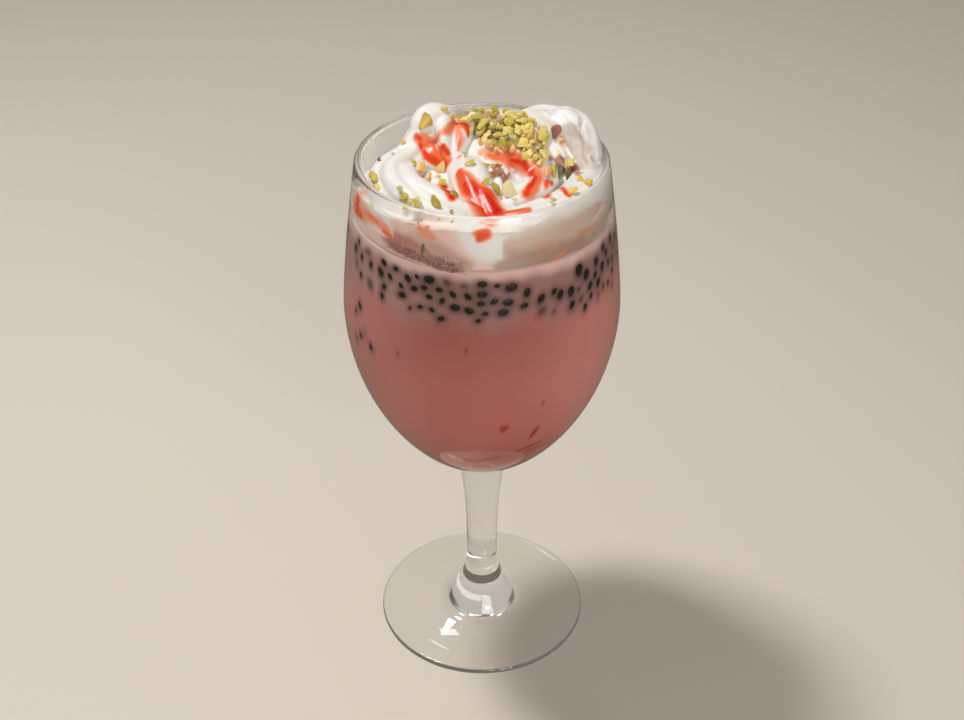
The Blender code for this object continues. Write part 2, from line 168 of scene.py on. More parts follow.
# How bright the world is: seen near the floor and overhead, in gloss, and as light
WORLD_LOW, WORLD_HIGH, WORLD_GLOSS, WORLD_LIGHT = 0.62, 0.5, 0.16, 0.18
WORLD_FADE = 0.9
WORLD_COLOUR = (1.0, 0.93, 0.83, 1)

# Lights: place, what each points at, its sides, power and colour. The lamp's place and target come from where
# it is seen mirrored in the bowl
KEY_LIGHT = ((-0.30, 0.17, 0.84), (0, 0, 0.12), (0.14, 0.14), 4.1, (1.0, 0.98, 0.95))
WINDOW_LIGHT = ((-0.085, 0.46, 0.64), (0, 0, 0), (0.05, 0.034), 0.09, (1.0, 1.0, 1.0))
FILL_LIGHT = ((0.30, -1.0, 0.50), (0, 0, 0.1), (0.6, 0.4), 5.5, (1.0, 0.95, 0.91))
LAMP_LIGHT = ((0.045, 0.014), 0.04, (1.0, 1.0, 1.0))

# What cream, milk, syrup and nuts share
FOOD_IOR = 1.4
GLOSSY_ROUGHNESS = 0.28
SCATTER_RGB = (1.0, 0.6, 0.4)

# Colours, linear
CREAM_WHITE = (0.90, 0.885, 0.86)
MILK_MIDDLE = (0.46, 0.148, 0.128)
MILK_EDGE = (0.63, 0.255, 0.235)
MILK_BY_SEEDS = (0.345, 0.178, 0.163)
MILK_BY_SEEDS_LEFT = (0.46, 0.27, 0.25)
MILK_SKIN = (0.77, 0.52, 0.49)
# How dark painted shade makes the drink at its darkest, as a share of its colour
MILK_SHADE = 0.84
# Where the drink's colour changes, in mm: its half width, the middle and half height of the band that painted
# shade darkens, and the heights between which the painted shade at the bowl's foot lifts, it turns grey by
# the seeds and pales at the cream
MILK_HALF_WIDTH = 38.0
MILK_SHADE_Z, MILK_SHADE_HALF = 131.0, 16.0
FOOT_SHADE_FADE, SEEDS_FADE, SKIN_FADE = (72.0, 100.0), (130.5, 139.0), (145.4, 149.6)
# Painted shade on the cream pressed against the glass, lower down and more towards the right
WALL_PAINTED_SHADE = (0.38, 0.215, 0.155)
# Painted shade on the cream at the wall: the heights between which it darkens downwards, strongly and faintly
WALL_SHADE_STRONG, WALL_SHADE_FAINT = (158.5 * MM, 151.0 * MM), (163.5 * MM, 157 * MM)
# A tan painted shade on the cream at the right wall and under its folds
WALL_TAN_SHADE = (0.62, 0.44, 0.345)
WALL_PINK = (0.97, 0.66, 0.58)
CURL_SHADE = (0.66, 0.56, 0.47)
GEL = (0.13, 0.080, 0.074)
SEED_BLACK = (0.010, 0.005, 0.004)
STREAK_RED = (0.34, 0.040, 0.012)
SYRUP_RAMP = (
    (0.0, (0.90, 0.885, 0.86)),
    (0.12, (0.93, 0.66, 0.57)),
    (0.3, (0.92, 0.37, 0.23)),
    (0.52, (0.91, 0.17, 0.062)),
    (0.74, (0.86, 0.072, 0.015)),
    (1.0, (0.70, 0.016, 0.003)),
)
PEACH = (0.90, 0.40, 0.20)
BROWN_RED = (0.42, 0.10, 0.05)
# Painted shade under and between the nuts of the heap
HEAP_GAP_SHADE = (0.34, 0.25, 0.075)
ORANGE = (0.74, 0.27, 0.09)
PINK_FOAM = (0.86, 0.60, 0.54)
PEACH_PALE = (0.90, 0.60, 0.52)
APRICOT = (0.90, 0.34, 0.17)
RUSSET = (0.48, 0.18, 0.135)
FROTH_EDGE = (0.50, 0.28, 0.24)
# Mauve of the froth, dark partly as painted shade of the hollow behind it
FOAM_MAUVE_SHADE = (0.20, 0.095, 0.082)
FOAM_PINK = (0.45, 0.24, 0.20)
FOAM_RED = (0.50, 0.14, 0.10)

# Syrup: how thick it is, how far it stands up, then points of the picture and the half width there, in mm
SYRUP = [
    (0.56, 0.15, [(417, 137, 1.2), (424, 143, 2.2), (434, 151, 2.7), (447, 164, 1.7)]),
    (0.8, 0.2, [(420, 145, 0.7), (427, 155, 1.3), (438, 162, 1.3), (447, 165, 0.8)]),
    (0.75, 0.0, [(418, 137, 0.8), (422, 141, 0.8)]),
    (0.45, 0.0, [(456, 121, 1.2), (447, 131, 1.5), (437, 140, 1.2)]),
    (0.8, 0.1, [(443, 146, 0.8), (447, 153, 1.0)]),
    (0.42, 0.0, [(458, 121, 1.5), (460, 138, 1.3), (459, 157, 0.8)]),
    (0.66, 0.0, [(461, 124, 0.5), (460, 136, 0.5), (458, 150, 0.4)]),
    (0.75, 0.1, [(465, 126, 1.2), (468, 134, 1.0)]),
    (0.62, 0.3, [(460, 173, 1.7), (465, 181, 2.6), (473, 191, 3.4)]),
    (0.86, 0.3, [(468, 184, 2.0), (477, 194, 3.6), (484, 203, 4.0), (492, 212, 3.7)]),
    (1.0, 0.2, [(475, 188, 0.8), (481, 195, 1.9), (487, 203, 2.7), (495, 211, 2.9)]),
    (0.6, 0.1, [(503, 212, 1.8), (515, 212, 1.8), (528, 210, 1.1)]),
    (0.28, 0.0, [(482, 152, 1.6), (496, 151, 2.0)]),
    (0.5, 0.25, [(490, 156, 1.6), (508, 158, 2.5), (521, 162, 2.7), (531, 169, 2.8), (537, 178, 1.8),
     (534, 187, 1.6), (527, 195, 1.8)]),
    (0.9, 0.15, [(512, 160, 0.7), (522, 163, 1.1), (530, 170, 1.4), (534, 178, 1.1), (531, 187, 0.9)]),
    (0.85, 0.2, [(530, 186, 1.2), (526, 194, 1.4)]),
    (0.85, 0.0, [(552, 183, 0.7), (560, 188, 1.0), (569, 196, 0.7)]),
    (1.0, 0.1, [(441, 186, 1.2), (447, 191, 1.8), (452, 198, 1.3)]),
    (0.7, 0.0, [(547, 182, 1.0), (547, 196, 1.2)]),
]
# Hollows in the cream: the depth in mm, then points of the picture with the half width there in mm
HOLLOWS = [
    (1.5, [(524, 110, 2.0), (534, 107, 2.4), (548, 105, 2.4), (562, 105, 2.0), (576, 108, 1.6)]),
    (0.7, [(550, 108, 1.1), (551, 112, 1.1)]),
    (0.5, [(424, 104, 2.0), (432, 104, 2.0)]),
    (2.6, [(568, 131, 1.8), (575, 139, 2.4), (580, 150, 2.4), (582, 160, 1.6)]),
    (1.2, [(587, 112, 0.6), (583, 120, 0.9), (581, 129, 0.9)]),
    (1.0, [(586, 145, 1.0), (592, 152, 1.4), (597, 160, 1.0)]),
]
# Stains on the cream, and painted shade under the curl and between the nuts: colour, strength and gloss, then
# points of the picture as above
STAINS_AND_SHADE = [
    # Painted shade under and between the nuts of the heap
    (HEAP_GAP_SHADE, 0.9, 0.0, [(462, 119, 2.0), (478, 119, 4.4), (500, 120, 5.4), (518, 126, 5.4),
     (534, 142, 4.6), (534, 152, 3.6)]),
    (HEAP_GAP_SHADE, 0.9, 0.0, [(486, 134, 3.2), (504, 141, 3.4), (522, 146, 3.6)]),
    (PEACH, 0.6, 0.4, [(482, 151, 1.6), (492, 150, 2.0), (501, 152, 1.6)]),
    (BROWN_RED, 0.8, 0.7, [(549, 158, 1.2), (559, 161, 1.9), (568, 163, 1.5), (576, 168, 1.2)]),
    (BROWN_RED, 0.5, 0.5, [(548, 171, 1.2), (547, 182, 1.0)]),
    (BROWN_RED, 0.8, 0.6, [(572, 168, 1.0), (580, 174, 1.2)]),
    (BROWN_RED, 0.7, 0.4, [(561, 138, 0.8), (564, 142, 0.9)]),
    # Painted shade under the curl's overhang, lower down under it, and in the fold at its right
    (CURL_SHADE, 0.4, 0.0, [(566, 133, 1.8), (573, 141, 3.0), (580, 151, 3.0)]),
    (CURL_SHADE, 0.7, 0.0, [(579, 151, 2.4), (584, 158, 3.2), (589, 165, 3.0)]),
    (CURL_SHADE, 0.4, 0.0, [(588, 114, 0.5), (585, 121, 0.9), (584, 131, 0.8)]),
    (PEACH, 0.5, 0.3, [(563, 140, 1.4), (566, 145, 1.0)]),
]

# Syrup, stains, painted shade and painted highlights that are seen through the glass, where the cream is
# pressed against it
WALL_SYRUP = [
    (0.66, 0.0, [(358, 200, 1.6), (357, 209, 2.2), (361, 215, 1.4)]),
    (0.3, 0.0, [(356, 202, 3.6), (366, 214, 2.8), (378, 223, 2.2), (388, 231, 1.6)]),
    (0.5, 0.0, [(368, 214, 0.8), (377, 222, 1.0)]),
    (0.5, 0.0, [(384, 231, 0.9), (391, 236, 0.9)]),
    (0.7, 0.1, [(489, 217, 1.5), (485, 225, 1.9), (483, 233, 2.1), (479, 239, 1.0)]),
    (0.6, 0.0, [(497, 217, 1.2), (510, 217, 1.6), (524, 215, 1.2)]),
]
WALL_STAINS_SHADE_HIGHLIGHTS = [
    (PINK_FOAM, 0.8, 0.2, [(348, 222, 4.0), (360, 232, 5.0), (378, 242, 5.4), (402, 252, 5.0),
     (430, 260, 4.6), (458, 266, 3.4), (484, 270, 2.2)]),
    (WALL_PINK, 0.8, 0.2, [(349, 214, 2.6), (360, 224, 3.2), (374, 233, 2.6)]),
    (PEACH_PALE, 0.8, 0.2, [(398, 226, 2.6), (416, 230, 3.4), (436, 240, 3.6), (452, 246, 3.2),
     (464, 256, 2.0)]),
    (FROTH_EDGE, 0.7, 0.2, [(386, 236, 2.0), (400, 240, 3.0), (418, 246, 3.2), (438, 253, 3.0),
     (454, 259, 2.6), (468, 266, 1.8)]),
    (RUSSET, 0.75, 0.3, [(388, 236, 1.2), (398, 239, 2.0), (408, 243, 2.0), (417, 247, 1.4)]),
    (APRICOT, 0.85, 0.3, [(419, 225, 1.3), (424, 231, 1.9), (431, 237, 1.3)]),
    (PEACH_PALE, 0.7, 0.2, [(436, 227, 1.6), (448, 232, 1.8)]),
    # Painted shade: tan on the cream at the right of the wall
    (WALL_TAN_SHADE, 0.8, 0.1, [(510, 246, 2.4), (524, 245, 3.6), (542, 241, 4.4), (562, 235, 4.6),
     (582, 224, 4.0), (598, 212, 2.6)]),
    # Painted shade on the cream low down at the right, just above the drink
    (WALL_PAINTED_SHADE, 0.8, 0.1, [(500, 268, 2.0), (514, 262, 3.0), (534, 260, 3.6), (556, 255, 3.4),
     (580, 244, 3.0)]),
    # Cream white painted back where the cream is lit, a line of painted shade under a fold, then thin painted
    # highlights on folds and edges
    (CREAM_WHITE, 1.0, 0.2, [(466, 238, 1.6), (474, 245, 2.5), (487, 248, 2.8), (496, 240, 1.8)]),
    (WALL_TAN_SHADE, 0.5, 0.1, [(492, 231, 0.4), (503, 234, 0.5), (516, 231, 0.4), (530, 226, 0.3)]),
    (CREAM_WHITE, 0.8, 0.3, [(488, 227, 0.5), (502, 230.5, 0.5), (514, 227, 0.4), (526, 223, 0.4),
     (541, 219, 0.3)]),
    (CREAM_WHITE, 0.8, 0.4, [(499.5, 241, 0.35), (500, 249, 0.5), (501, 259, 0.35)]),
    (CREAM_WHITE, 0.4, 0.3, [(592, 222, 0.4), (600, 211, 0.8), (606, 196, 0.5)]),
    # A small stroke of the tan painted shade
    (WALL_TAN_SHADE, 0.6, 0.1, [(566, 229, 0.35), (570, 226, 0.4), (571, 222, 0.3)]),
    (ORANGE, 0.85, 0.2, [(498, 270, 0.6), (508, 273, 1.0), (520, 273, 1.1), (531, 270, 0.7)]),
    (ORANGE, 0.7, 0.2, [(551, 264, 0.6), (557, 259, 1.2), (564, 255, 0.8)]),
    (ORANGE, 0.3, 0.1, [(533, 268, 0.6), (545, 265, 0.6)]),
    (ORANGE, 0.3, 0.1, [(534, 247, 0.5), (543, 243, 0.8), (556, 241, 0.5)]),
    (ORANGE, 0.22, 0.1, [(500, 264, 0.5), (520, 256, 0.6), (540, 252, 0.5), (556, 247, 0.5)]),
    (ORANGE, 0.6, 0.2, [(582, 234, 0.6), (589, 229, 0.8), (596, 225, 0.5)]),
    (ORANGE, 0.45, 0.2, [(588, 210, 0.5), (596, 205, 0.6), (606, 202, 0.5)]),
]

# Red streaks in the drink: how strong each is, then points of the picture with the half width there in mm
STREAKS = [
    (0.9, [(501, 427, 0.4), (503, 431, 0.7), (506, 428, 0.8)]),
    (0.9, [(530, 438, 0.5), (534, 432, 0.9), (538, 427, 0.5)]),
    (0.9, [(517, 451, 0.5), (527, 447, 0.8), (541, 441, 0.6)]),
    (0.8, [(527, 450, 0.5), (540, 446, 0.7), (551, 441, 0.5)]),
    (0.8, [(548, 438, 0.5), (561, 436, 0.5)]),
    (0.8, [(458, 458, 1.0), (474, 461, 1.5), (496, 458, 1.0)]),
    (0.9, [(466, 350, 0.4), (467, 354, 0.4)]),
    (0.8, [(542, 405, 0.5), (543, 403, 0.4)]),
    (0.7, [(397, 355, 0.5), (398, 354, 0.4)]),
]

# Froth against the glass: its upper and lower edges as points of the picture
FOAM_UPPER = [
    (378, 229), (392, 233), (408, 238), (424, 242), (440, 247), (456, 253), (472, 263),
]
FOAM_LOWER = [
    (378, 246), (392, 251), (408, 260), (424, 268), (440, 273), (456, 276), (472, 276),
]

FOAM_PITCH, FOAM_ROWS = 0.16 * MM, 70
FOAM_BUBBLES = 2600
BUBBLE_R = (0.12 * MM, 0.3 * MM)
FOAM_GLOSS = 0.75

# A smear of cream inside the glass: its middle in the picture and its half width and half height
SMEAR_AT = (369, 148)
SMEAR_HALF = (7.5 * MM, 3.4 * MM)
SMEAR_CREAM = (0.86, 0.80, 0.70)
SMEAR_ROWS = 40
SMEAR_THINNEST = 0.02

# Basil seeds seen at the wall: points of the picture, size, tilt in degrees and how clear of the milk each is
SEEDS_SEEN = [
    (396, 269, .8, 0, 1), (371, 265, .8, 90, .9), (362, 257, .8, 90, .7), (356, 249, 1.1, 90, .6),
    (359, 242, .8, 90, .7), (368, 252, 1.0, 20, .3), (384, 263, 1.0, -40, .5), (381, 273, 1.3, -65, .6),
    (390, 277, .9, -60, .5), (370, 284, 1.2, -65, .4), (361, 275, .8, 90, .6), (357, 263, .8, 90, .4),
    (384, 287, .9, 60, .7), (382, 296, .8, -80, .8), (408, 279, 1.1, -55, .7), (417, 277, .7, -40, .5),
    (401, 286, .8, -50, .5), (414, 289, 1.0, 20, .6), (402, 295, 1.0, 10, 1), (424, 288, .9, 5, .8),
    (429, 280, 1.35, 5, 1), (429, 297, .85, -10, .7), (439, 290, .9, -5, .9), (447, 283, .9, -45, .4),
    (453, 295, 1.0, -50, .6), (442, 301, .85, 60, 1), (455, 308, 1.25, -5, .8), (468, 297, 1.0, -45, .95),
    (464, 286, .8, 0, .3), (410, 308, .55, 60, .5), (420, 307, .75, 10, .7), (432, 310, .75, -30, .8),
    (441, 319, .9, 20, .8), (469, 311, 1.15, -20, .95), (482, 285, 1.2, 5, .8), (482, 295, 1.25, 5, .9),
    (481, 304, .95, 0, 1), (485, 314, .8, 10, .8), (478, 321, .7, 15, .8), (360, 306, 1.1, -70, .5),
    (356, 311, .7, 90, .5), (361, 335, .8, -75, .6), (357, 338, .7, 90, .45), (371, 347, .9, -65, .5),
    (365, 332, .6, -70, .3), (497, 286, .75, 0, .8), (511, 288, 1.4, 5, 1), (494, 302, .95, 30, 1),
    (508, 303, 1.25, 0, .9), (503, 313, 1.25, 5, .95), (527, 293, 1.1, 80, 1), (524, 306, 1.0, 15, .7),
    (541, 299, 1.2, 60, .85), (542, 311, 1.1, 40, .4), (554, 292, .9, 70, .9), (560, 295, 1.15, 75, .95),
    (571, 292, 1.25, 85, .95), (572, 305, 1.05, 60, .85), (579, 289, .7, 60, .35), (579, 271, 1.5, 88, 1),
    (586, 275, 1.3, 75, 1), (595, 275, .9, 60, .95), (596, 262, 1.1, 75, .85), (603, 248, 1.0, 88, .9),
    (610, 239, 1.1, 85, .75), (606, 253, .95, 85, .7), (602, 267, 1.2, 80, .75), (608, 262, .9, 85, .7),
    (612, 258, .9, 88, .5), (590, 286, 1.1, 65, .9), (598, 283, 1.15, 65, .7), (603, 286, .9, 80, .45),
    (608, 283, .8, 85, .6), (612, 270, .8, 85, .5), (612, 284, .8, 85, .45), (581, 299, .8, 60, .45),
    (591, 296, .8, 70, .55), (598, 296, .8, 70, .45), (585, 307, .9, 60, .75), (613, 246, .8, 85, .4),
    (554, 311, .5, 70, .3),
]
SEED_HALF = (1.3 * MM, 0.95 * MM, 0.35 * MM)
SEED_SINK = 0.2 * MM
SEED_HALO = 1.1 * MM
SEED_BAND = (137.5 * MM, 148.6 * MM)
FINE_LOW_Z = SEED_BAND[0] - 3 * MM
SEED_SPACING = 4.0 * MM
# How far apart the rows lie as a share of the spacing, and the least distance between two seeds
SEED_ROWS, SEED_APART = 0.75, 0.6 * SEED_SPACING
SEED_GRID = (9, 14)
SEED_SHOWS = 0.5
EGG_SHAPE = 0.14
# How far forward the seeds of the back come on each side, as the sine of the angle round the glass
FRONT_ON_RIGHT, FRONT_ON_LEFT = -0.34, -0.17

# Chopped nuts by colour. Each has a point of the picture, its length and width in mm and its tilt in degrees
NUTS_SEEN = {
    "yellow": [(475, 118, 5.2, 4.2, 70), (465, 123, 3.2, 2.0, 5), (457, 119, 2.0, 1.4, 20),
        (509, 118, 3.0, 2.8, 0), (507, 131, 5.0, 4.0, 60), (522, 130, 5.6, 4.4, 20),
        (531, 123, 2.6, 1.8, 40), (519, 136, 2.8, 2.4, 20), (543, 136, 5.0, 2.5, 80),
        (480, 135, 2.6, 2.2, 20), (489, 138, 2.7, 2.3, 50), (491, 145, 2.4, 1.9, 10),
        (498, 140, 2.9, 2.1, 30), (505, 139, 2.4, 1.9, 70), (515, 145, 2.6, 2.1, 0),
        (522, 146, 3.8, 3.4, 40), (528, 141, 2.3, 1.8, 20), (535, 141, 2.5, 1.9, 60),
        (531, 155, 2.7, 2.3, 45), (536, 159, 2.2, 1.8, 30), (541, 163, 2.6, 2.0, 30),
        (572, 164, 3.7, 2.8, 10), (407, 129, 2.6, 1.4, 40), (485, 165, 3.2, 2.0, 5),
        (469, 163, 3.4, 1.9, 50), (378, 155, 2.2, 1.1, 150), (376, 188, 2.6, 1.8, 20),
        (444, 109, 2.4, 1.9, 20), (414, 202, 4.3, 3.2, 10), (500, 128, 2.4, 2.0, 0),
        (527, 130, 2.4, 2.0, 70), (513, 121, 2.0, 1.6, 0), (497, 150, 2.0, 1.6, 0),
        (545, 146, 2.2, 1.8, 30), (493, 127, 2.4, 1.8, 60)],
    "lime": [(487, 126, 5.4, 3.5, 20), (511, 135, 2.9, 2.6, 10), (543, 152, 4.4, 3.5, 70),
        (554, 172, 4.2, 2.5, 80), (485, 181, 2.4, 2.0, 60), (374, 178, 4.5, 2.3, 110),
        (412, 164, 2.1, 1.9, 30), (443, 184, 3.1, 2.3, 160), (553, 200, 1.9, 1.1, 160)],
    "olive": [(506, 148, 4.9, 3.2, 120), (546, 132, 3.1, 1.3, 80), (403, 199, 2.0, 1.8, 0),
        (455, 195, 4.8, 2.5, 60), (437, 202, 4.3, 2.8, 110), (452, 212, 1.3, 1.1, 0),
        (493, 189, 5.4, 3.2, 115)],
    "dark": [(497, 134, 3.1, 2.4, 20), (561, 171, 4.2, 2.6, 75), (568, 175, 3.8, 2.0, 100),
        (539, 146, 1.6, 1.2, 0)],
    "pale": [(463, 114, 2.2, 1.5, 20), (519, 117, 2.6, 2.2, 60), (560, 154, 1.9, 1.4, 80),
        (511, 189, 5.6, 4.6, 70), (515, 198, 2.0, 1.6, 20), (551, 204, 2.4, 1.6, 10),
        (452, 117, 3.0, 1.9, 20), (399, 189, 2.3, 1.7, 10), (466, 157, 2.2, 1.3, 80),
        (441, 143, 2.1, 1.6, 20)],
    "almond": [(425, 123, 6.0, 4.2, 100)],
    "tan": [(420, 168, 4.8, 3.8, 60), (428, 179, 2.6, 2.3, 30), (440, 168, 4.4, 3.2, 80),
        (438, 178, 1.8, 1.5, 0), (497, 113, 2.0, 1.6, 80), (529, 135, 3.0, 2.9, 30),
        (535, 150, 2.4, 1.9, 10), (404, 141, 2.4, 1.5, 80), (392, 155, 1.5, 1.1, 10),
        (486, 143, 2.2, 1.7, 60)],
    "peach": [(487, 116, 2.4, 1.7, 20), (500, 119, 1.9, 1.6, 0), (482, 143, 2.9, 2.0, 110),
        (547, 172, 3.8, 2.0, 80), (431, 136, 2.4, 1.7, 160), (432, 175, 1.8, 1.6, 0),
        (561, 139, 1.9, 1.6, 0)],
    "skin": [(556, 133, 4.4, 3.3, 60), (380, 160, 1.3, 1.2, 0), (503, 124, 1.5, 1.2, 0)],
    "brown": [(506, 182, 2.2, 1.8, 20), (507, 175, 2.4, 1.8, 70), (493, 176, 2.2, 1.6, 30),
        (493, 168, 2.2, 1.9, 0), (497, 173, 2.6, 2.0, 70), (500, 167, 2.0, 1.6, 30),
        (504, 178, 2.4, 2.0, 110), (496, 165, 1.7, 1.4, 0), (501, 173, 2.2, 1.7, 50),
        (491, 173, 1.6, 1.3, 0)],
    "gold": [(573, 192, 3.2, 2.4, 20), (588, 184, 2.6, 2.0, 30), (580, 180, 2.8, 1.8, 80)],
    "green": [(409, 202, 3.6, 2.6, 20), (405, 196, 2.4, 1.8, 60), (417, 207, 2.0, 1.6, 0)],
}
NUT_COLOURS = {
    "yellow": ((0.95, 0.77, 0.29), (0.76, 0.58, 0.13)),
    "lime": ((0.55, 0.50, 0.06), (0.76, 0.66, 0.17)),
    "olive": ((0.40, 0.30, 0.04), (0.56, 0.44, 0.10)),
    "dark": ((0.14, 0.11, 0.03), (0.28, 0.24, 0.12)),
    "pale": ((0.86, 0.72, 0.44), (0.78, 0.62, 0.32)),
    "tan": ((0.88, 0.58, 0.20), (0.90, 0.70, 0.36)),
    "almond": ((0.86, 0.56, 0.15), (0.46, 0.36, 0.05)),
    "peach": ((0.90, 0.48, 0.22), (0.82, 0.56, 0.26)),
    "skin": ((0.30, 0.11, 0.075), (0.42, 0.20, 0.15)),
    "brown": ((0.42, 0.18, 0.08), (0.68, 0.42, 0.24)),
    "gold": ((0.82, 0.56, 0.06), (0.88, 0.66, 0.16)),
    "green": ((0.58, 0.52, 0.08), (0.80, 0.70, 0.24)),
}
NUTS_AT_WALL = {
    "dark": [(424, 253, 5.4, 2.4, 88)],
    "lime": [(414, 234, 1.7, 1.1, 80), (406, 211, 3.4, 1.3, 20), (424, 247, 1.6, 1.2, 0)],
    "yellow": [(397, 223, 1.2, 1.0, 0), (372, 207, 2.6, 1.4, 160), (440, 221, 1.6, 1.2, 0),
        (452, 222, 1.4, 1.0, 30)],
    "peach": [(418, 225, 2.0, 1.2, 70), (426, 233, 1.4, 1.0, 20), (427, 228, 1.3, 1.0, 60)],
}
# The heap fills this outline in the picture, under and between the pieces above
HEAP_OUTLINE = [
    (455, 116), (470, 109), (500, 108), (524, 112), (537, 124), (549, 138), (546, 158), (538, 164),
    (522, 156), (508, 151), (492, 148), (480, 141), (472, 130), (458, 125),
]
HEAP_SPACING_PX = 7.4
HEAP_RISE = 0.7 * MM
HEAP_KINDS = ["yellow", "yellow", "yellow", "tan", "pale", "lime", "lime", "olive", "peach"]
# The least and greatest length, width and thickness of the heap's and the back's pieces in mm
HEAP_SIZES = ((1.7, 4.3), (1.4, 3.0), (1.2, 2.2))
BACK_SIZES = ((1.8, 3.6), (1.5, 2.4), (1.2, 1.9))
BACK_NUTS = 46
ANY_TILT = (0, 3.14)
ABOVE_ALL = 0.2
NUT_LEAN = Vector((0, -0.35, 0.3))


def lerp(a, b, t):
    return a + (b - a) * t


def smoothstep(low, high, value):
    t = np.clip((value - low) / (high - low), 0.0, 1.0)
    return t * t * (3 - 2 * t)


def steps(low, high, count):
    return [low + (high - low) * i / (count - 1) for i in range(count)]


def eased(low, high, count):
    """Values from low to high, packed closer towards low."""
    return [low + (high - low) * (1 - math.cos(math.pi / 2 * i / (count - 1))) for i in range(count)]


def arc(centre, radius, start, end, count):
    """Points (r, z) on an arc, from one angle in degrees to another."""
    return [
        (centre[0] + radius * math.cos(math.radians(a)), centre[1] + radius * math.sin(math.radians(a)))
        for a in steps(start, end, count)
    ]


def on_ring(radius, angle, z):
    return Vector((radius * math.cos(angle), radius * math.sin(angle), z))


def bump(angle, centre, width):
    """1 at the centre angle, easing to 0 a width away from it."""
    off = np.abs((angle - centre + math.pi) % (2 * math.pi) - math.pi)
    return 0.5 + 0.5 * np.cos(math.pi * np.minimum(1.0, off / width))


def outer_radius(z):
    if z < WIDEST_Z:
        t = min(1.0, (WIDEST_Z - z) / (WIDEST_Z - BOWL_TIP_Z))
        return BOWL_R * (1 - t**LOWER_POWER) ** (1 / LOWER_ROOT)
    u = (z - WIDEST_Z) / (HEIGHT - WIDEST_Z)
    return BOWL_R - (BOWL_R - RIM_R) * u**UPPER_POWER


def inner_radius(z):
    if z < WIDEST_Z:
        t = min(1.0, (WIDEST_Z - z) / (WIDEST_Z - INNER_TIP_Z))
        return (BOWL_R - WALL) * (1 - t**LOWER_POWER) ** (1 / LOWER_ROOT)
    return outer_radius(z) - WALL


def stem_radius(z):
    if z < FOOT_FILLET_Z:
        return STEM_R + FOOT_FILLET_R * ((FOOT_FILLET_Z - z) / FOOT_FILLET_SPAN) ** FOOT_FILLET_POWER
    rise = max(0.0, (z - STEM_WAIST_Z) / (BOWL_JOINT_Z - STEM_WAIST_Z))
    return STEM_R + STEM_FLARE * rise**STEM_FLARE_POWER


def camera_ray(u, v):
    """The direction from the camera through a point of the picture, in pixels."""
    across = (u - PICTURE[0] / 2) / FOCAL_PX
    above = (PICTURE[1] / 2 - v) / FOCAL_PX
    forward = Vector((0, math.cos(CAMERA_DOWN), -math.sin(CAMERA_DOWN)))
    up = Vector((0, math.sin(CAMERA_DOWN), math.cos(CAMERA_DOWN)))
    return (forward + across * Vector((1, 0, 0)) + above * up).normalized()


def march(spot, way, step, arrived, limit=MARCH_LIMIT):
    """Steps along a way until the test holds there. Gives None where it never does."""
    for _ in range(limit):
        spot = spot + way * step
        if arrived(spot):
            return spot
    return None


def meet_bowl(u, v):
    """Where the view through a point of the picture meets the bowl, its way, and the bowl's normal there."""
    way = camera_ray(u, v)
    spot = march(CAMERA_AT + way * CLEAR_OF_GLASS, way, MARCH_STEP,
                 lambda p: BOWL_TIP_Z < p.z < HEIGHT and math.hypot(p.x, p.y) < outer_radius(p.z))
    if spot is None:
        return None, way, None
    slope = (outer_radius(spot.z + MARCH_STEP) - outer_radius(spot.z - MARCH_STEP)) / (2 * MARCH_STEP)
    out = (Vector((spot.x, spot.y, 0)).normalized() + Vector((0, 0, -slope))).normalized()
    return spot, way, out


def seen_on_wall(u, v):
    """Where the contents touch the glass at a point of the picture, as the glass bends the view."""
    spot, way, out = meet_bowl(u, v)
    if spot is None:
        return None
    cosine = -way.dot(out)
    ratio = 1 / GLASS_IOR
    bent = way * ratio + out * (ratio * cosine - math.sqrt(max(0.0, 1 - ratio**2 * (1 - cosine**2))))
    return march(spot, bent, MARCH_STEP / 2, lambda p: math.hypot(p.x, p.y) < inner_radius(p.z) + IN_WALL,
                 IN_GLASS_STEPS)


def seen_inside(u, v):
    """Where a ray through a point of the picture, over the near rim, meets the inside of the glass."""
    way = camera_ray(u, v)

    def inside(p):
        return p.z < HEIGHT and math.hypot(p.x, p.y) < inner_radius(p.z)

    entry = march(CAMERA_AT + way * CLEAR_OF_GLASS, way, MARCH_STEP, inside)
    return march(entry, way, MARCH_STEP, lambda p: not inside(p))


def seen_on(surface):
    """Gives a function for where the view through a point of the picture meets a surface, or None."""
    return lambda u, v: surface.ray_cast(CAMERA_AT, camera_ray(u, v))[0]


def new_piece(name, verts, faces):
    mesh = bpy.data.meshes.new(name)
    mesh.from_pydata([tuple(v) for v in verts], [], faces)
    mesh.validate()
    mesh.shade_smooth()
    obj = bpy.data.objects.new(name, mesh)
    bpy.context.scene.collection.objects.link(obj)
    return obj


def vertex_data(obj, field="co"):
    """A row for each vertex: its place, or its normal where the field is normal."""
    out = np.empty(len(obj.data.vertices) * 3, dtype=np.float32)
    obj.data.vertices.foreach_get(field, out)
    return out.reshape(-1, 3).astype(float)


def set_coords(obj, points):
    obj.data.vertices.foreach_set("co", points.astype(np.float32).ravel())
    obj.data.update()


def surface_of(obj):
    return BVHTree.FromObject(obj, bpy.context.evaluated_depsgraph_get())


def tree_of(points):
    tree = kdtree.KDTree(len(points))
    for i, p in enumerate(points):
        tree.insert(p, i)
    tree.balance()
    return tree


def ring_faces(rings, count, start=0):
    """Faces between closed rings of points that follow one another."""
    faces = []
    for low in range(start, start + (rings - 1) * count, count):
        for j in range(count):
            k = (j + 1) % count
            faces.append((low + j, low + k, low + count + k, low + count + j))
    return faces


def tube_faces(rings, count, start=0):
    """Faces of a tube of rings, closed at both ends."""
    last = start + (rings - 1) * count
    ends = [tuple(range(start, start + count))[::-1], tuple(range(last, last + count))]
    return ring_faces(rings, count, start) + ends


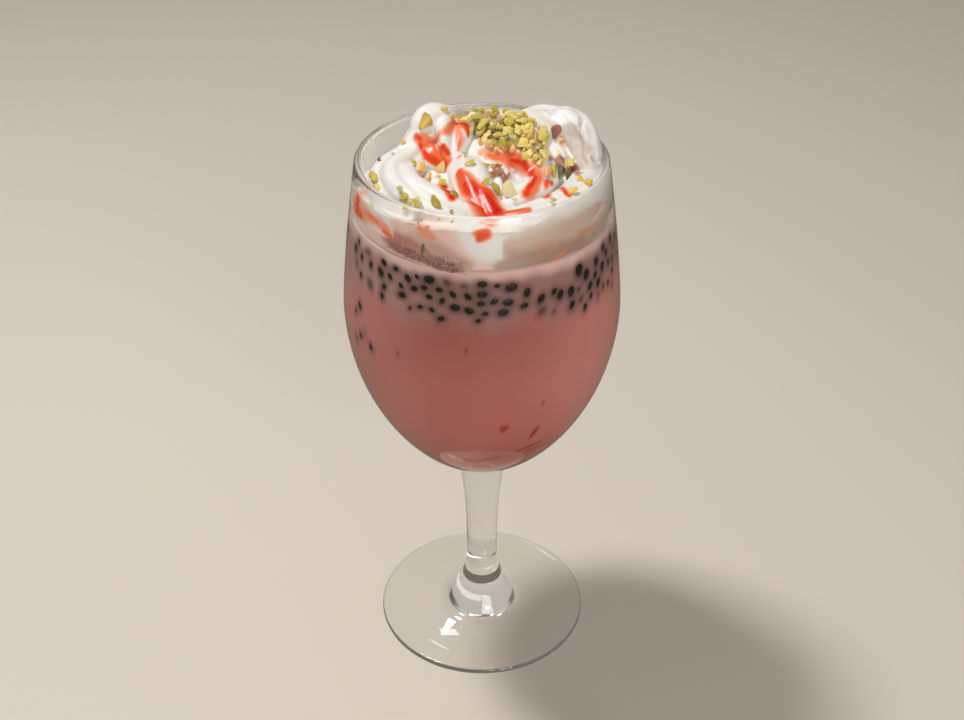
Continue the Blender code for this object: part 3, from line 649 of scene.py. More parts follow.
def sheet_faces(columns, rows):
    """Faces of an open sheet whose points run up each column in turn."""
    corners = [i * (rows + 1) + j for i in range(columns) for j in range(rows)]
    return [(a, a + rows + 1, a + rows + 2, a + 1) for a in corners]


def turned(name, profile, count):
    """A closed surface of revolution about Z from a section that starts and ends on the axis."""
    rings = [p for p in profile if p[0] > ON_AXIS]
    verts = [on_ring(r, 2 * math.pi * j / count, z) for r, z in rings for j in range(count)]
    faces = ring_faces(len(rings), count)
    for (_, z), start, order in ((profile[0], 0, -1), (profile[-1], (len(rings) - 1) * count, 1)):
        verts.append((0, 0, z))
        for j in range(count):
            faces.append((len(verts) - 1, *(start + j, start + (j + 1) % count)[::order]))
    return new_piece(name, verts, faces)


class Nodes:
    """Short calls for the node tree of a material or a world."""

    def __init__(self, owner):
        owner.use_nodes = True
        self.owner, self.tree = owner, owner.node_tree
        self.shader = self.tree.nodes.get("Principled BSDF")

    def fill(self, node, sockets):
        """Sets a node's inputs, each to a value or to what another node puts out."""
        for key, value in sockets.items():
            if isinstance(value, bpy.types.NodeSocket):
                self.tree.links.new(value, node.inputs[key])
            else:
                node.inputs[key].default_value = value

    def add(self, kind, sockets=None, **values):
        node = self.tree.nodes.new("ShaderNode" + kind)
        for key, value in values.items():
            setattr(node, key, value)
        self.fill(node, sockets or {})
        return node

    def set(self, **sockets):
        """Sets the main shader's inputs, named with underscores for spaces."""
        self.fill(self.shader, {key.replace("_", " "): value for key, value in sockets.items()})

    def maths(self, operation, a, b, **values):
        return self.add("Math", {0: a, 1: b}, operation=operation, **values).outputs["Value"]

    def mix(self, factor, a, b, **values):
        return self.add("Mix", {"Factor": factor, "A": a, "B": b}, **values).outputs["Result"]

    def mix_shaders(self, factor, first, second):
        return self.add("MixShader", {"Fac": factor, 1: first, 2: second}).outputs["Shader"]


def paint(obj, name, colours):
    """Stores an RGBA colour for each vertex."""
    layer = obj.data.color_attributes.new(name, "FLOAT_COLOR", "POINT")
    layer.data.foreach_set("color", np.asarray(colours).astype(np.float32).ravel())


def dress(obj, colours, name, roughness, scatter, radius, specular=0.5, relief=None):
    """Paints a piece, whose paint's alpha is its gloss, and gives it a material. Its relief is fine noise."""
    paint(obj, "paint", colours)
    m = Nodes(bpy.data.materials.new(name))
    colour = m.add("VertexColor", layer_name="paint").outputs
    spread = m.add("MapRange", {"Value": colour["Alpha"], "To Min": roughness, "To Max": GLOSSY_ROUGHNESS})
    m.set(Base_Color=colour["Color"], Roughness=spread.outputs["Result"], IOR=FOOD_IOR)
    m.set(Specular_IOR_Level=specular, Subsurface_Weight=scatter)
    m.set(Subsurface_Scale=radius, Subsurface_Radius=SCATTER_RGB)
    if relief:
        scale, detail, strength, distance = relief
        place = m.add("TexCoord").outputs["Object"]
        height = m.add("TexNoise", {"Vector": place, "Scale": scale, "Detail": detail}).outputs["Fac"]
        raised = m.add("Bump", {"Height": height, "Strength": strength, "Distance": distance})
        m.set(Normal=raised.outputs["Normal"])
    obj.data.materials.append(m.owner)


def glass_material():
    """Clear glass with a painted highlight, a pale diffuse band along its rim. Shadows, diffuse light and
    deep bounces go straight through it.
    """
    m = Nodes(bpy.data.materials.new("clear_glass"))
    m.set(Base_Color=GLASS_TINT, Roughness=0.0, IOR=GLASS_IOR, Transmission_Weight=1.0)
    clear = m.add("BsdfTransparent", {"Color": GLASS_CLEAR})
    ray = m.add("LightPath").outputs
    through = m.maths("MAXIMUM", ray["Is Shadow Ray"], ray["Is Diffuse Ray"])
    straight = m.maths("MAXIMUM", through, m.maths("GREATER_THAN", ray["Ray Depth"], GLASS_BOUNCES))
    glass = m.mix_shaders(straight, m.shader.outputs["BSDF"], clear.outputs["BSDF"])
    # The rim's painted highlight: a pale diffuse shader, mixed in by the painted band
    rim_highlight = m.add("VertexColor", layer_name="rim_highlight").outputs["Color"]
    pale = m.add("BsdfDiffuse", {"Color": RIM_HIGHLIGHT_COLOUR}).outputs["BSDF"]
    m.fill(m.tree.nodes["Material Output"], {"Surface": m.mix_shaders(rim_highlight, glass, pale)})
    return m.owner


def glass_profile():
    under = [(r, FOOT_HOLLOW * (1 - (r / REST_INNER_R) ** 2)) for r in steps(0, REST_INNER_R, 16)]
    edge_r = FOOT_EDGE / 2
    edge = arc((FOOT_R - edge_r, edge_r), edge_r, -90, 80, 12)
    cone = [
        (r, FOOT_EDGE + FOOT_SLOPE * (FOOT_R - edge_r - r))
        for r in steps(FOOT_R - 2.5 * edge_r, stem_radius(STEM_LOW_Z) + CONE_GAP, 10)
    ]
    stem = [(stem_radius(z), z) for z in steps(STEM_LOW_Z + 0.2 * MM, FOOT_FILLET_Z, 24)]
    stem += [(stem_radius(z), z) for z in steps(STEM_WAIST_Z, BOWL_JOINT_Z, 22)]
    cup = [(outer_radius(z), z) for z in eased(BOWL_JOINT_Z + 0.5 * MM, WIDEST_Z, LOWER_RINGS)]
    cup += [(outer_radius(z), z) for z in steps(WIDEST_Z, HEIGHT - WALL / 2, UPPER_RINGS)[1:]]
    rim = arc((RIM_R - WALL / 2, HEIGHT - WALL / 2), WALL / 2, 15, 180, 18)
    inside = [(inner_radius(z), z) for z in reversed(steps(WIDEST_Z, HEIGHT - WALL, UPPER_RINGS))]
    inside += [(inner_radius(z), z) for z in reversed(eased(INNER_TIP_Z, WIDEST_Z, LOWER_RINGS)[:-1])]
    inside[-1] = (0.0, INNER_TIP_Z)
    return under + [(REST_OUTER_R, 0.0)] + edge + cone + stem + cup + rim + inside


def make_glass():
    glass = turned("goblet", glass_profile(), GLASS_TURN)
    points = vertex_data(glass)
    # Painted highlight: a pale band at the top of the rim, strongest at the front
    top = smoothstep(HEIGHT - RIM_HIGHLIGHT_BAND[0], HEIGHT - RIM_HIGHLIGHT_BAND[1], points[:, 2])
    front = bump(np.arctan2(points[:, 1], points[:, 0]), -math.pi / 2, RIM_HIGHLIGHT_WIDTH)
    pale = top * lerp(RIM_HIGHLIGHT_SHARE[0], RIM_HIGHLIGHT_SHARE[1], front)
    paint(glass, "rim_highlight", np.column_stack([pale, pale, pale, np.ones(len(pale))]))
    glass.data.materials.append(glass_material())
    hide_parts("glass")
    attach(glass, "root")


def milk_colour(points):
    """The drink's colour: redder in the middle, greyer among the seeds and paler under the cream, with
    painted shade darkening it in a band below the seeds and towards the bowl's foot.
    """
    x, y, z = points.T / MM
    across = smoothstep(0.15, 1.0, np.hypot(x, np.maximum(y, 0)) / MILK_HALF_WIDTH)
    colour = lerp(np.array(MILK_MIDDLE), np.array(MILK_EDGE), across[:, None])
    # Painted shade: darker in a band below the seeds and towards the bowl's foot
    deep = lerp(MILK_SHADE, 1.0, np.maximum(across, np.abs(z - MILK_SHADE_Z) / MILK_SHADE_HALF).clip(0, 1))
    colour = colour * (deep * lerp(0.8, 1.0, smoothstep(*FOOT_SHADE_FADE, z)))[:, None]
    ragged = 1.5 * np.sin(0.31 * x + 1.0) + 1.0 * np.sin(0.83 * x + 0.2 * y)
    leftward = smoothstep(-4.0, -30.0, x)[:, None]
    by_seeds = lerp(np.array(MILK_BY_SEEDS), np.array(MILK_BY_SEEDS_LEFT), leftward)
    colour = lerp(colour, by_seeds, smoothstep(*SEEDS_FADE, z + ragged)[:, None])
    colour = lerp(colour, np.array(MILK_SKIN), smoothstep(*SKIN_FADE, z + 0.3 * ragged)[:, None])
    return np.column_stack([colour, np.zeros(len(points))])


class Seed:
    """A basil seed at the wall: its place, its two ways along the glass, its size and how clear it is."""

    def __init__(self, spot, size, tilt, clear):
        self.spot, self.size, self.clear = spot, size, clear
        self.out = Vector((spot.x, spot.y, 0)).normalized()
        across = Vector((-self.out.y, self.out.x, 0))
        up = Vector((0, 0, 1))
        self.long_way = across * math.cos(tilt) + up * math.sin(tilt)
        self.short_way = up * math.cos(tilt) - across * math.sin(tilt)


def seeds_at_wall():
    """The seeds that are seen, and others in the same scatter on round the sides and back."""
    rng = random.Random(SEED_DRAWS)
    seeds = []
    for u, v, size, tilt, clear in SEEDS_SEEN:
        spot = seen_on_wall(u, v)
        if spot is not None:
            seeds.append(Seed(spot, size, math.radians(tilt), clear))
    rows = int((SEED_BAND[1] - SEED_BAND[0]) / (SEED_ROWS * SEED_SPACING)) + 1
    count = int(2 * math.pi * BOWL_R / SEED_SPACING)
    for i in range(rows):
        for j in range(count):
            angle = 2 * math.pi * (j + 0.5 * (i % 2) + rng.uniform(-0.3, 0.3)) / count
            z = lerp(SEED_BAND[0], SEED_BAND[1], (i + rng.uniform(0.1, 0.9)) / rows)
            size, tilt, clear = rng.uniform(0.75, 1.35), rng.uniform(-1.5, 1.5), rng.uniform(0.35, 1.0)
            spot = on_ring(inner_radius(z) + IN_WALL, angle, z)
            furthest = FRONT_ON_RIGHT if math.cos(angle) > 0 else FRONT_ON_LEFT
            if math.sin(angle) > furthest and all((spot - s.spot).length > SEED_APART for s in seeds):
                seeds.append(Seed(spot, size, tilt, clear))
    return seeds


def paint_seeds(points, colours, seeds):
    """Darkens the drink over each seed and greys it round the seed, where its clear gel coat lies."""
    tree = tree_of(points)
    gel, black = np.array(GEL), np.array(SEED_BLACK)
    for seed in seeds:
        long_half, short_half = SEED_HALF[0] * seed.size, SEED_HALF[1] * seed.size
        found = [(co, i) for co, i, _ in tree.find_range(seed.spot, long_half + 2.4 * SEED_HALO)]
        for co, i in found:
            off = co - seed.spot
            along, across = off.dot(seed.long_way), off.dot(seed.short_way)
            share = math.hypot(along / long_half, across / short_half)
            beyond = max(0.0, (share - 1) * short_half) / SEED_HALO
            halo = (0.25 + 0.5 * seed.clear) * math.exp(-((beyond * 1.3) ** 2))
            core = (0.25 + 0.7 * seed.clear) * (1 - smoothstep(0.55, 1.1 + 0.3 * (1 - seed.clear), share))
            colours[i, :3] = lerp(colours[i, :3], gel, halo)
            colours[i, :3] = lerp(colours[i, :3], black, core)


def make_seeds(seeds):
    """The black seeds that show at the wall, flattened eggs that just break the drink's surface."""
    verts, faces = [], []
    rows, sides = SEED_GRID
    for seed in seeds:
        if seed.clear < SEED_SHOWS:
            continue
        centre = seed.spot - seed.out * SEED_SINK
        faces += tube_faces(rows, sides, len(verts))
        for i in range(rows):
            height = math.cos(math.pi * (i + 0.5) / rows)
            ring = math.sqrt(1 - height**2) * (1 + EGG_SHAPE * height)
            for angle in [2 * math.pi * j / sides for j in range(sides)]:
                long_off = seed.long_way * SEED_HALF[0] * height
                short_off = seed.short_way * SEED_HALF[1] * ring * math.cos(angle)
                out_off = seed.out * SEED_HALF[2] * ring * math.sin(angle)
                verts.append(centre + (long_off + short_off) * seed.size + out_off)
    piece = new_piece("basil_seeds", verts, faces)
    m = Nodes(bpy.data.materials.new("basil_seed"))
    m.set(Base_Color=(*SEED_BLACK, 1), Roughness=0.35, Specular_IOR_Level=0.15)
    piece.data.materials.append(m.owner)
    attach(piece, "root")


def make_drink():
    seeds = seeds_at_wall()
    low = INNER_TIP_Z - IN_WALL
    top = DRINK_TOP_Z + UNDER_CREAM
    heights = eased(low + 0.1 * MM, PLAIN_TOP_Z, 56) + steps(PLAIN_TOP_Z, FINE_LOW_Z, 20)[1:]
    heights += steps(FINE_LOW_Z, top, 50)[1:]
    wall = [(inner_radius(z) + IN_WALL, z) for z in heights]
    drink = turned("drink", [(0.0, low)] + wall + [(0.0, top)], DRINK_TURN)
    points = vertex_data(drink)
    colours = milk_colour(points)
    for strength, stroke in STREAKS:
        mask = 1 - smoothstep(0.6, 1.5, near_stroke(points, stroke, seen_on_wall))
        paint_stain_shade_highlight(colours, mask, STREAK_RED, strength, 0.0)
    paint_seeds(points, colours, seeds)
    dress(drink, colours, "milk", 0.5, 0.1, 0.8 * MM, 0.0)
    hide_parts("rose_milk", "seed_layer")
    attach(drink, "root")
    make_seeds(seeds)


def smooth_curve(points, count):
    """Points of a Catmull-Rom curve through the given ones, evenly spaced in its parameter."""
    ends = [2 * points[0] - points[1]] + list(points) + [2 * points[-1] - points[-2]]
    curve = []
    for i in range(count):
        place = (len(points) - 1) * i / (count - 1)
        k = min(int(place), len(points) - 2)
        t = place - k
        a, b, c, d = ends[k : k + 4]
        bend = (2 * a - 5 * b + 4 * c - d) * t**2 + (3 * b - a - 3 * c + d) * t**3
        curve.append(0.5 * (2 * b + (c - a) * t + bend))
    return curve


def rope_mesh(points, depth, turns):
    """Vertices and faces of a rope of piped cream: a closed tube with rounded ends and ridges along it."""
    curve = smooth_curve([np.array(p, float) * MM for p in points], ROPE_RINGS)
    rings = []
    for i, here in enumerate(curve):
        before, after = curve[max(i - 1, 0)], curve[min(i + 1, ROPE_RINGS - 1)]
        rings.append((here[:3], here[3], (after[:3] - before[:3]), i / (ROPE_RINGS - 1)))
    caps = []
    for end, sign in ((0, -1), (-1, 1)):
        centre, radius, along, place = rings[end]
        unit = along / np.linalg.norm(along)
        cap = []
        for turn in [math.pi / 2 * k / CAP_RINGS for k in range(1, CAP_RINGS + 1)]:
            tip = centre + sign * unit * radius * math.sin(turn)
            cap.append((tip, radius * max(CAP_CLOSED, math.cos(turn)), along, place))
        caps.append(cap)
    rings = caps[0][::-1] + rings + caps[1]
    verts = []
    side = Vector((0, 0, 1))
    for centre, radius, along, place in rings:
        along = Vector(along).normalized()
        side = (side - along * side.dot(along)).normalized()
        other = along.cross(side)
        for share in [j / ROPE_SIDES for j in range(ROPE_SIDES)]:
            angle = 2 * math.pi * (share + turns * place)
            reach = radius * (1 + depth * (abs(math.cos(math.pi * RIDGES * share)) - 0.5))
            verts.append(Vector(centre) + (side * math.cos(angle) + other * math.sin(angle)) * reach)
    return verts, tube_faces(len(rings), ROPE_SIDES)


def bed_height(share, angle):
    dome = DOME_HEIGHT * (0.5 + 0.5 * math.cos(math.pi * min(1.0, share * RIM_R / DOME_R)))
    near_glass = max(0.0, (share - POCKET_START) / (1 - POCKET_START))
    pocket = POCKET_DEPTH * bump(angle, POCKET_ANGLE, POCKET_WIDTH) * min(1.0, 2 * near_glass)
    rise = RISE_HEIGHT * bump(angle, RISE_ANGLE, RISE_WIDTH) * share
    ripple = 0.5 * MM * share * math.sin(5 * angle + 4 * share)
    return BED_TOP_Z + dome - pocket + rise + ripple


def bed_mesh():
    reach = inner_radius(BED_TOP_Z) + BED_REACH
    rows, count = BED_GRID
    verts = [(0, 0, bed_height(0, 0))]
    for share in [i / rows for i in range(1, rows + 1)]:
        for angle in [2 * math.pi * j / count for j in range(count)]:
            verts.append(on_ring(share * reach, angle, bed_height(share, angle)))
    verts += [(x, y, DRINK_TOP_Z + 0.1 * MM) for x, y, _ in verts[-count:]]
    faces = [(a, d, c, b) for a, b, c, d in ring_faces(rows + 1, count, 1)]
    faces += [(0, 1 + j, 1 + (j + 1) % count) for j in range(count)]
    faces.append(tuple(1 + rows * count + j for j in range(count))[::-1])
    return verts, faces


def relax(obj, rounds):
    """Evens out a mesh by moving each vertex half way to the mean of its neighbours."""
    points = vertex_data(obj)
    edges = np.empty(len(obj.data.edges) * 2, dtype=np.int32)
    obj.data.edges.foreach_get("vertices", edges)
    a, b = edges.reshape(-1, 2).T
    degree = np.bincount(a, minlength=len(points)) + np.bincount(b, minlength=len(points))
    for _ in range(rounds):
        total = np.zeros_like(points)
        for axis in range(3):
            total[:, axis] += np.bincount(a, weights=points[b, axis], minlength=len(points))
            total[:, axis] += np.bincount(b, weights=points[a, axis], minlength=len(points))
        points = lerp(points, total / np.maximum(degree, 1)[:, None], 0.5)
    set_coords(obj, points)


def keep_in_glass(points):
    """Holds points to the inside of the glass, up to its rim."""
    r = np.hypot(points[:, 0], points[:, 1])
    z = points[:, 2]
    u = np.clip((z - WIDEST_Z) / (HEIGHT - WIDEST_Z), 0, 1)
    wall = BOWL_R - (BOWL_R - RIM_R) * u**UPPER_POWER - WALL + IN_WALL
    over = (r > wall) & (z < HEIGHT + 0.5 * MM)
    scale = np.where(over, wall / np.maximum(r, 1e-9), 1.0)
    return points * np.column_stack([scale, scale, np.ones(len(points))])


def grain(points, scale):
    """Smooth noise at each point, from about -1 to 1."""
    return np.array([noise.noise(Vector(p) / scale) for p in points]) * 1.6


def near_stroke(points, stroke, at):
    """For each point, its distance to a stroke's path as a share of the stroke's half width there."""
    spots = [(at(u, v), half * MM) for u, v, half in stroke]
    spots = [spot for spot in spots if spot[0] is not None]
    share = np.full(len(points), 99.0)
    for (start, wide), (end, narrow) in zip(spots, spots[1:]):
        for t in np.linspace(0, 1, 7):
            distance = np.linalg.norm(points - np.array(start.lerp(end, t)), axis=1)
            share = np.minimum(share, distance / lerp(wide, narrow, t))
    return share


# Paints a colour over a mask: a real stain, painted shade or a painted highlight
def paint_stain_shade_highlight(colours, mask, colour, strength, gloss):
    amount = mask * strength
    colours[:, :3] = lerp(colours[:, :3], np.array(colour), amount[:, None])
    colours[:, 3] = lerp(colours[:, 3], gloss, amount)


def cream_surface():
    """The whole body of cream: its bed and ropes melted into one skin, held inside the glass."""
    verts, faces = bed_mesh()
    for points, depth, turns in ROPES.values():
        more, their = rope_mesh(points, depth, turns)
        faces += [tuple(i + len(verts) for i in f) for f in their]
        verts += more
    cream = new_piece("cream", verts, faces)
    remesh = cream.modifiers.new("Remesh", "REMESH")
    remesh.mode = "VOXEL"
    remesh.voxel_size = CREAM_VOXEL
    made = bpy.data.meshes.new_from_object(cream.evaluated_get(bpy.context.evaluated_depsgraph_get()))
    cream.modifiers.clear()
    cream.data = made
    relax(cream, CREAM_SMOOTHING)
    points = vertex_data(cream)
    shift = sum(height * grain(points, scale) for scale, height in GRAIN)
    points = keep_in_glass(points + vertex_data(cream, "normal") * shift[:, None])
    set_coords(cream, points)
    cream.data.shade_smooth()
    return cream


def press_hollows(cream):
    """Presses the hollows into the skin of the cream."""
    at = seen_on(surface_of(cream))
    points, out = vertex_data(cream), vertex_data(cream, "normal")
    for depth, stroke in HOLLOWS:
        points -= out * (depth * MM * (1 - smoothstep(0.2, 1.5, near_stroke(points, stroke, at))))[:, None]
    set_coords(cream, points)


def add_syrup(points, out, colours, strokes, uneven, at):
    """Paints syrup along strokes, from pink where it is thin to deep red, and raises the points there."""
    thickness = np.zeros(len(points))
    lift = np.zeros(len(points))
    for amount, raised, stroke in strokes:
        share = near_stroke(points, stroke, at)
        thickness = np.maximum(thickness, amount * (1 - smoothstep(0.3, 1.45, share + uneven)))
        lift = np.maximum(lift, raised * MM * np.sqrt(1 - smoothstep(0.4, 1.1, share)))
    stops = [stop for stop, _ in SYRUP_RAMP]
    ramp = [np.interp(thickness, stops, [colour[k] for _, colour in SYRUP_RAMP]) for k in range(3)]
    cover = smoothstep(0.0, 0.12, thickness)
    colours[:, :3] = lerp(colours[:, :3], np.column_stack(ramp), cover[:, None])
    colours[:, 3] = np.maximum(colours[:, 3], smoothstep(0.2, 0.6, thickness))
    points += out * lift[:, None]


# Paints strokes of stain, painted shade and painted highlight
def add_stains_shade_highlights(points, colours, stains, uneven, at, edge):
    for colour, strength, gloss, stroke in stains:
        mask = 1 - smoothstep(*edge, near_stroke(points, stroke, at) + uneven)
        paint_stain_shade_highlight(colours, mask, colour, strength, gloss)


def make_cream():
    """The cream with its syrup, stains, painted shade and painted highlights. Gives the piece, and its bare
    skin for the nuts to lie on.
    """
    cream = cream_surface()
    press_hollows(cream)
    points, out = vertex_data(cream), vertex_data(cream, "normal")
    surface = surface_of(cream)
    on_cream = seen_on(surface)
    colours = np.tile(np.array((*CREAM_WHITE, 0.0)), (len(points), 1))
    uneven = 0.16 * grain(points, 3.2 * MM) + 0.04 * grain(points, 1.2 * MM)
    r, z = np.hypot(points[:, 0], points[:, 1]), points[:, 2]
    # Painted shade: the cream at the wall darkens lower down and more towards the right
    at_wall = smoothstep(-1.0 * MM, -0.2 * MM, r - np.array([inner_radius(h) for h in np.clip(z, 0, HEIGHT)]))
    painted_shade_low = smoothstep(*WALL_SHADE_STRONG, z + 4 * MM * uneven)
    painted_shade_right = 0.12 + 0.88 * smoothstep(4 * MM, 22 * MM, points[:, 0])
    paint_stain_shade_highlight(colours, at_wall * painted_shade_low * painted_shade_right, WALL_PAINTED_SHADE, 0.9, 0.0)
    paint_stain_shade_highlight(colours, at_wall * smoothstep(*WALL_SHADE_FAINT, z) * painted_shade_right, WALL_PAINTED_SHADE, 0.45, 0.0)
    add_stains_shade_highlights(points, colours, STAINS_AND_SHADE, uneven, on_cream, (0.5, 1.2))
    add_syrup(points, out, colours, SYRUP, uneven, on_cream)
    add_stains_shade_highlights(points, colours, WALL_STAINS_SHADE_HIGHLIGHTS, uneven, seen_on_wall, (0.3, 1.5))
    add_syrup(points, out, colours, WALL_SYRUP, 1.4 * uneven, seen_on_wall)
    points = keep_in_glass(points)
    points[:, 2] = np.minimum(points[:, 2], CREAM_TOP_Z)
    set_coords(cream, points)
    dress(cream, colours, "cream", 0.42, 0.2, 0.8 * MM, relief=(1400.0, 4.0, 0.08, 0.2 * MM))
    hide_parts("whipped_cream")
    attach(cream, "root")
    return cream, surface


def make_foam(cream):
    """Wet froth between the drink and the cream, pressed on the glass: small bubbles in a mauve film, darker
    in its middle partly as painted shade.
    """
    cream_colours = np.empty(len(cream.data.vertices) * 4, dtype=np.float32)
    cream.data.color_attributes["paint"].data.foreach_get("color", cream_colours)
    cream_colours = cream_colours.reshape(-1, 4)
    cream_tree = tree_of(vertex_data(cream))
    rng = random.Random(FOAM_DRAWS)
    edges = []
    for line in (FOAM_UPPER, FOAM_LOWER):
        edges.append([(math.atan2(p.y, p.x), p.z) for p in (seen_on_wall(u, v) for u, v in line)])
    first = max(edge[0][0] for edge in edges)
    last = min(edge[-1][0] for edge in edges)
    columns = int((last - first) * BOWL_R / FOAM_PITCH)
    verts, colours, spans = [], [], []
    for i in range(columns + 1):
        angle = lerp(first, last, i / columns)
        high, low = (np.interp(angle, [a for a, _ in edge], [z for _, z in edge]) for edge in edges)
        spans.append((angle, low, high))
    bubbles = []
    for _ in range(FOAM_BUBBLES):
        angle, low, high = rng.choice(spans)
        z = lerp(low, high, rng.random() ** 1.3)
        bubbles.append((on_ring(inner_radius(z), angle, z), rng.uniform(*BUBBLE_R)))
    tree = tree_of([spot for spot, _ in bubbles])
    for i, (angle, low, high) in enumerate(spans):
        for share in [j / FOAM_ROWS for j in range(FOAM_ROWS + 1)]:
            z = lerp(low, high, share)
            r = inner_radius(z)
            spot = on_ring(r, angle, z)
            coarse = noise.noise(spot / (3.0 * MM))
            fine = noise.noise(spot / (0.7 * MM))
            inside = min((1 - share) * 1.8, share * 5, min(i, columns - i) / columns * 6)
            cover = smoothstep(0.15, 1.0, inside + 0.4 * coarse + 0.2 * fine)
            _, k, distance = tree.find(spot)
            off = distance / bubbles[k][1]
            r += IN_WALL + lerp(-0.45, 0.05, smoothstep(0.0, 0.15, cover)) * MM
            r += 0.03 * MM * max(0.0, 1 - off**2) * cover
            verts.append(on_ring(r, angle, z))
            left = 1 - smoothstep(0.1, 0.5, i / columns)
            # Darker mauve along the middle of the froth: wet froth, and painted shade of the hollow behind it
            wet_and_shaded = smoothstep(0.0, 0.35, share + 0.2 * coarse) * smoothstep(0.8, 0.3, share + 0.35 * coarse)
            colour = lerp(np.array(FOAM_PINK), np.array(FOAM_MAUVE_SHADE), min(1.0, max(0.0, wet_and_shaded + 0.5 * fine)))
            colour = lerp(colour, np.array(FOAM_RED), 0.7 * left * (0.5 + share / 2))
            ring = math.exp(-((off - 0.9) / 0.22) ** 2)
            colour = lerp(colour * lerp(0.7, 1.3, (k * GOLDEN) % 1.0), np.array(PINK_FOAM), 0.35 * ring)
            beside = cream_colours[cream_tree.find(spot)[1]][:3]
            beside = lerp(np.array(MILK_SKIN), beside, smoothstep(0.1, 0.4, share + 0.2 * coarse))
            colours.append((*lerp(beside, colour, smoothstep(0.2, 0.95, cover)), FOAM_GLOSS))
    foam = new_piece("froth", verts, sheet_faces(columns, FOAM_ROWS))
    dress(foam, colours, "froth", 0.4, 0.1, 0.4 * MM, 0.25)
    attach(foam, "root")


def make_smear():
    """A thin smear of cream left inside the glass above the cream at the left."""
    middle = seen_inside(*SMEAR_AT)
    verts, covers = [], []
    centre_angle = math.atan2(middle.y, middle.x)
    shares = [2 * i / SMEAR_ROWS - 1 for i in range(SMEAR_ROWS + 1)]
    for across in shares:
        for up in shares:
            angle, z = centre_angle + across * SMEAR_HALF[0] / RIM_R, middle.z + up * SMEAR_HALF[1]
            r = inner_radius(z)
            spot = on_ring(r, angle, z)
            edge = math.hypot(across, up) + 0.5 * noise.noise(spot / (1.6 * MM))
            cover = 1 - smoothstep(0.45, 0.8, edge + 0.2 * noise.noise(spot / (0.6 * MM)))
            r -= (0.02 + 0.25 * cover + 0.25 * cover * abs(noise.noise(spot / (0.9 * MM)))) * MM
            verts.append(on_ring(r, angle, z))
            covers.append(cover)
    faces = [(a, d, c, b) for a, b, c, d in sheet_faces(SMEAR_ROWS, SMEAR_ROWS)]
    faces = [corners for corners in faces if min(covers[k] for k in corners) > SMEAR_THINNEST]
    smear = new_piece("cream_smear", verts, faces)
    dress(smear, [(*SMEAR_CREAM, 0.3)] * len(verts), "smear", 0.45, 0.2, 0.5 * MM)
    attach(smear, "root")


def chunk(rng, size):
    """Points and faces of a chopped piece: a ball cut flat by planes at random and squashed to its size."""
    bm = bmesh.new()
    bmesh.ops.create_icosphere(bm, subdivisions=2, radius=1.0)
    for _ in range(rng.randint(5, 8)):
        way = Vector((rng.gauss(0, 1), rng.gauss(0, 1), rng.gauss(0, 1))).normalized()
        cut = rng.uniform(0.3, 0.75)
        whole = bm.verts[:] + bm.edges[:] + bm.faces[:]
        bmesh.ops.bisect_plane(bm, geom=whole, plane_co=way * cut, plane_no=way, clear_outer=True)
    corners = [v.co.copy() for v in bm.verts]
    bm.free()
    bm = bmesh.new()
    for co in corners:
        bm.verts.new(co)
    bmesh.ops.convex_hull(bm, input=bm.verts)
    bmesh.ops.dissolve_limit(bm, angle_limit=math.radians(3), verts=bm.verts, edges=bm.edges)
    sharp = [e for e in bm.edges if e.is_manifold and e.calc_face_angle() > math.radians(32)]
    bmesh.ops.bevel(bm, geom=sharp, offset=0.07, segments=1, affect="EDGES", clamp_overlap=True)
    bmesh.ops.triangulate(bm, faces=bm.faces)
    bm.verts.ensure_lookup_table()
    bm.verts.index_update()
    reach = [max(abs(v.co[axis]) for v in bm.verts) for axis in range(3)]
    points = [Vector(v.co[axis] / reach[axis] * size[axis] / 2 for axis in range(3)) for v in bm.verts]
    faces = [tuple(v.index for v in f.verts) for f in bm.faces]
    bm.free()
    return points, faces


def inside_outline(u, v, outline):
    within = False
    for (u0, v0), (u1, v1) in zip(outline, outline[1:] + outline[:1]):
        if (v0 > v) != (v1 > v) and u < u0 + (u1 - u0) * (v - v0) / (v1 - v0):
            within = not within
    return within


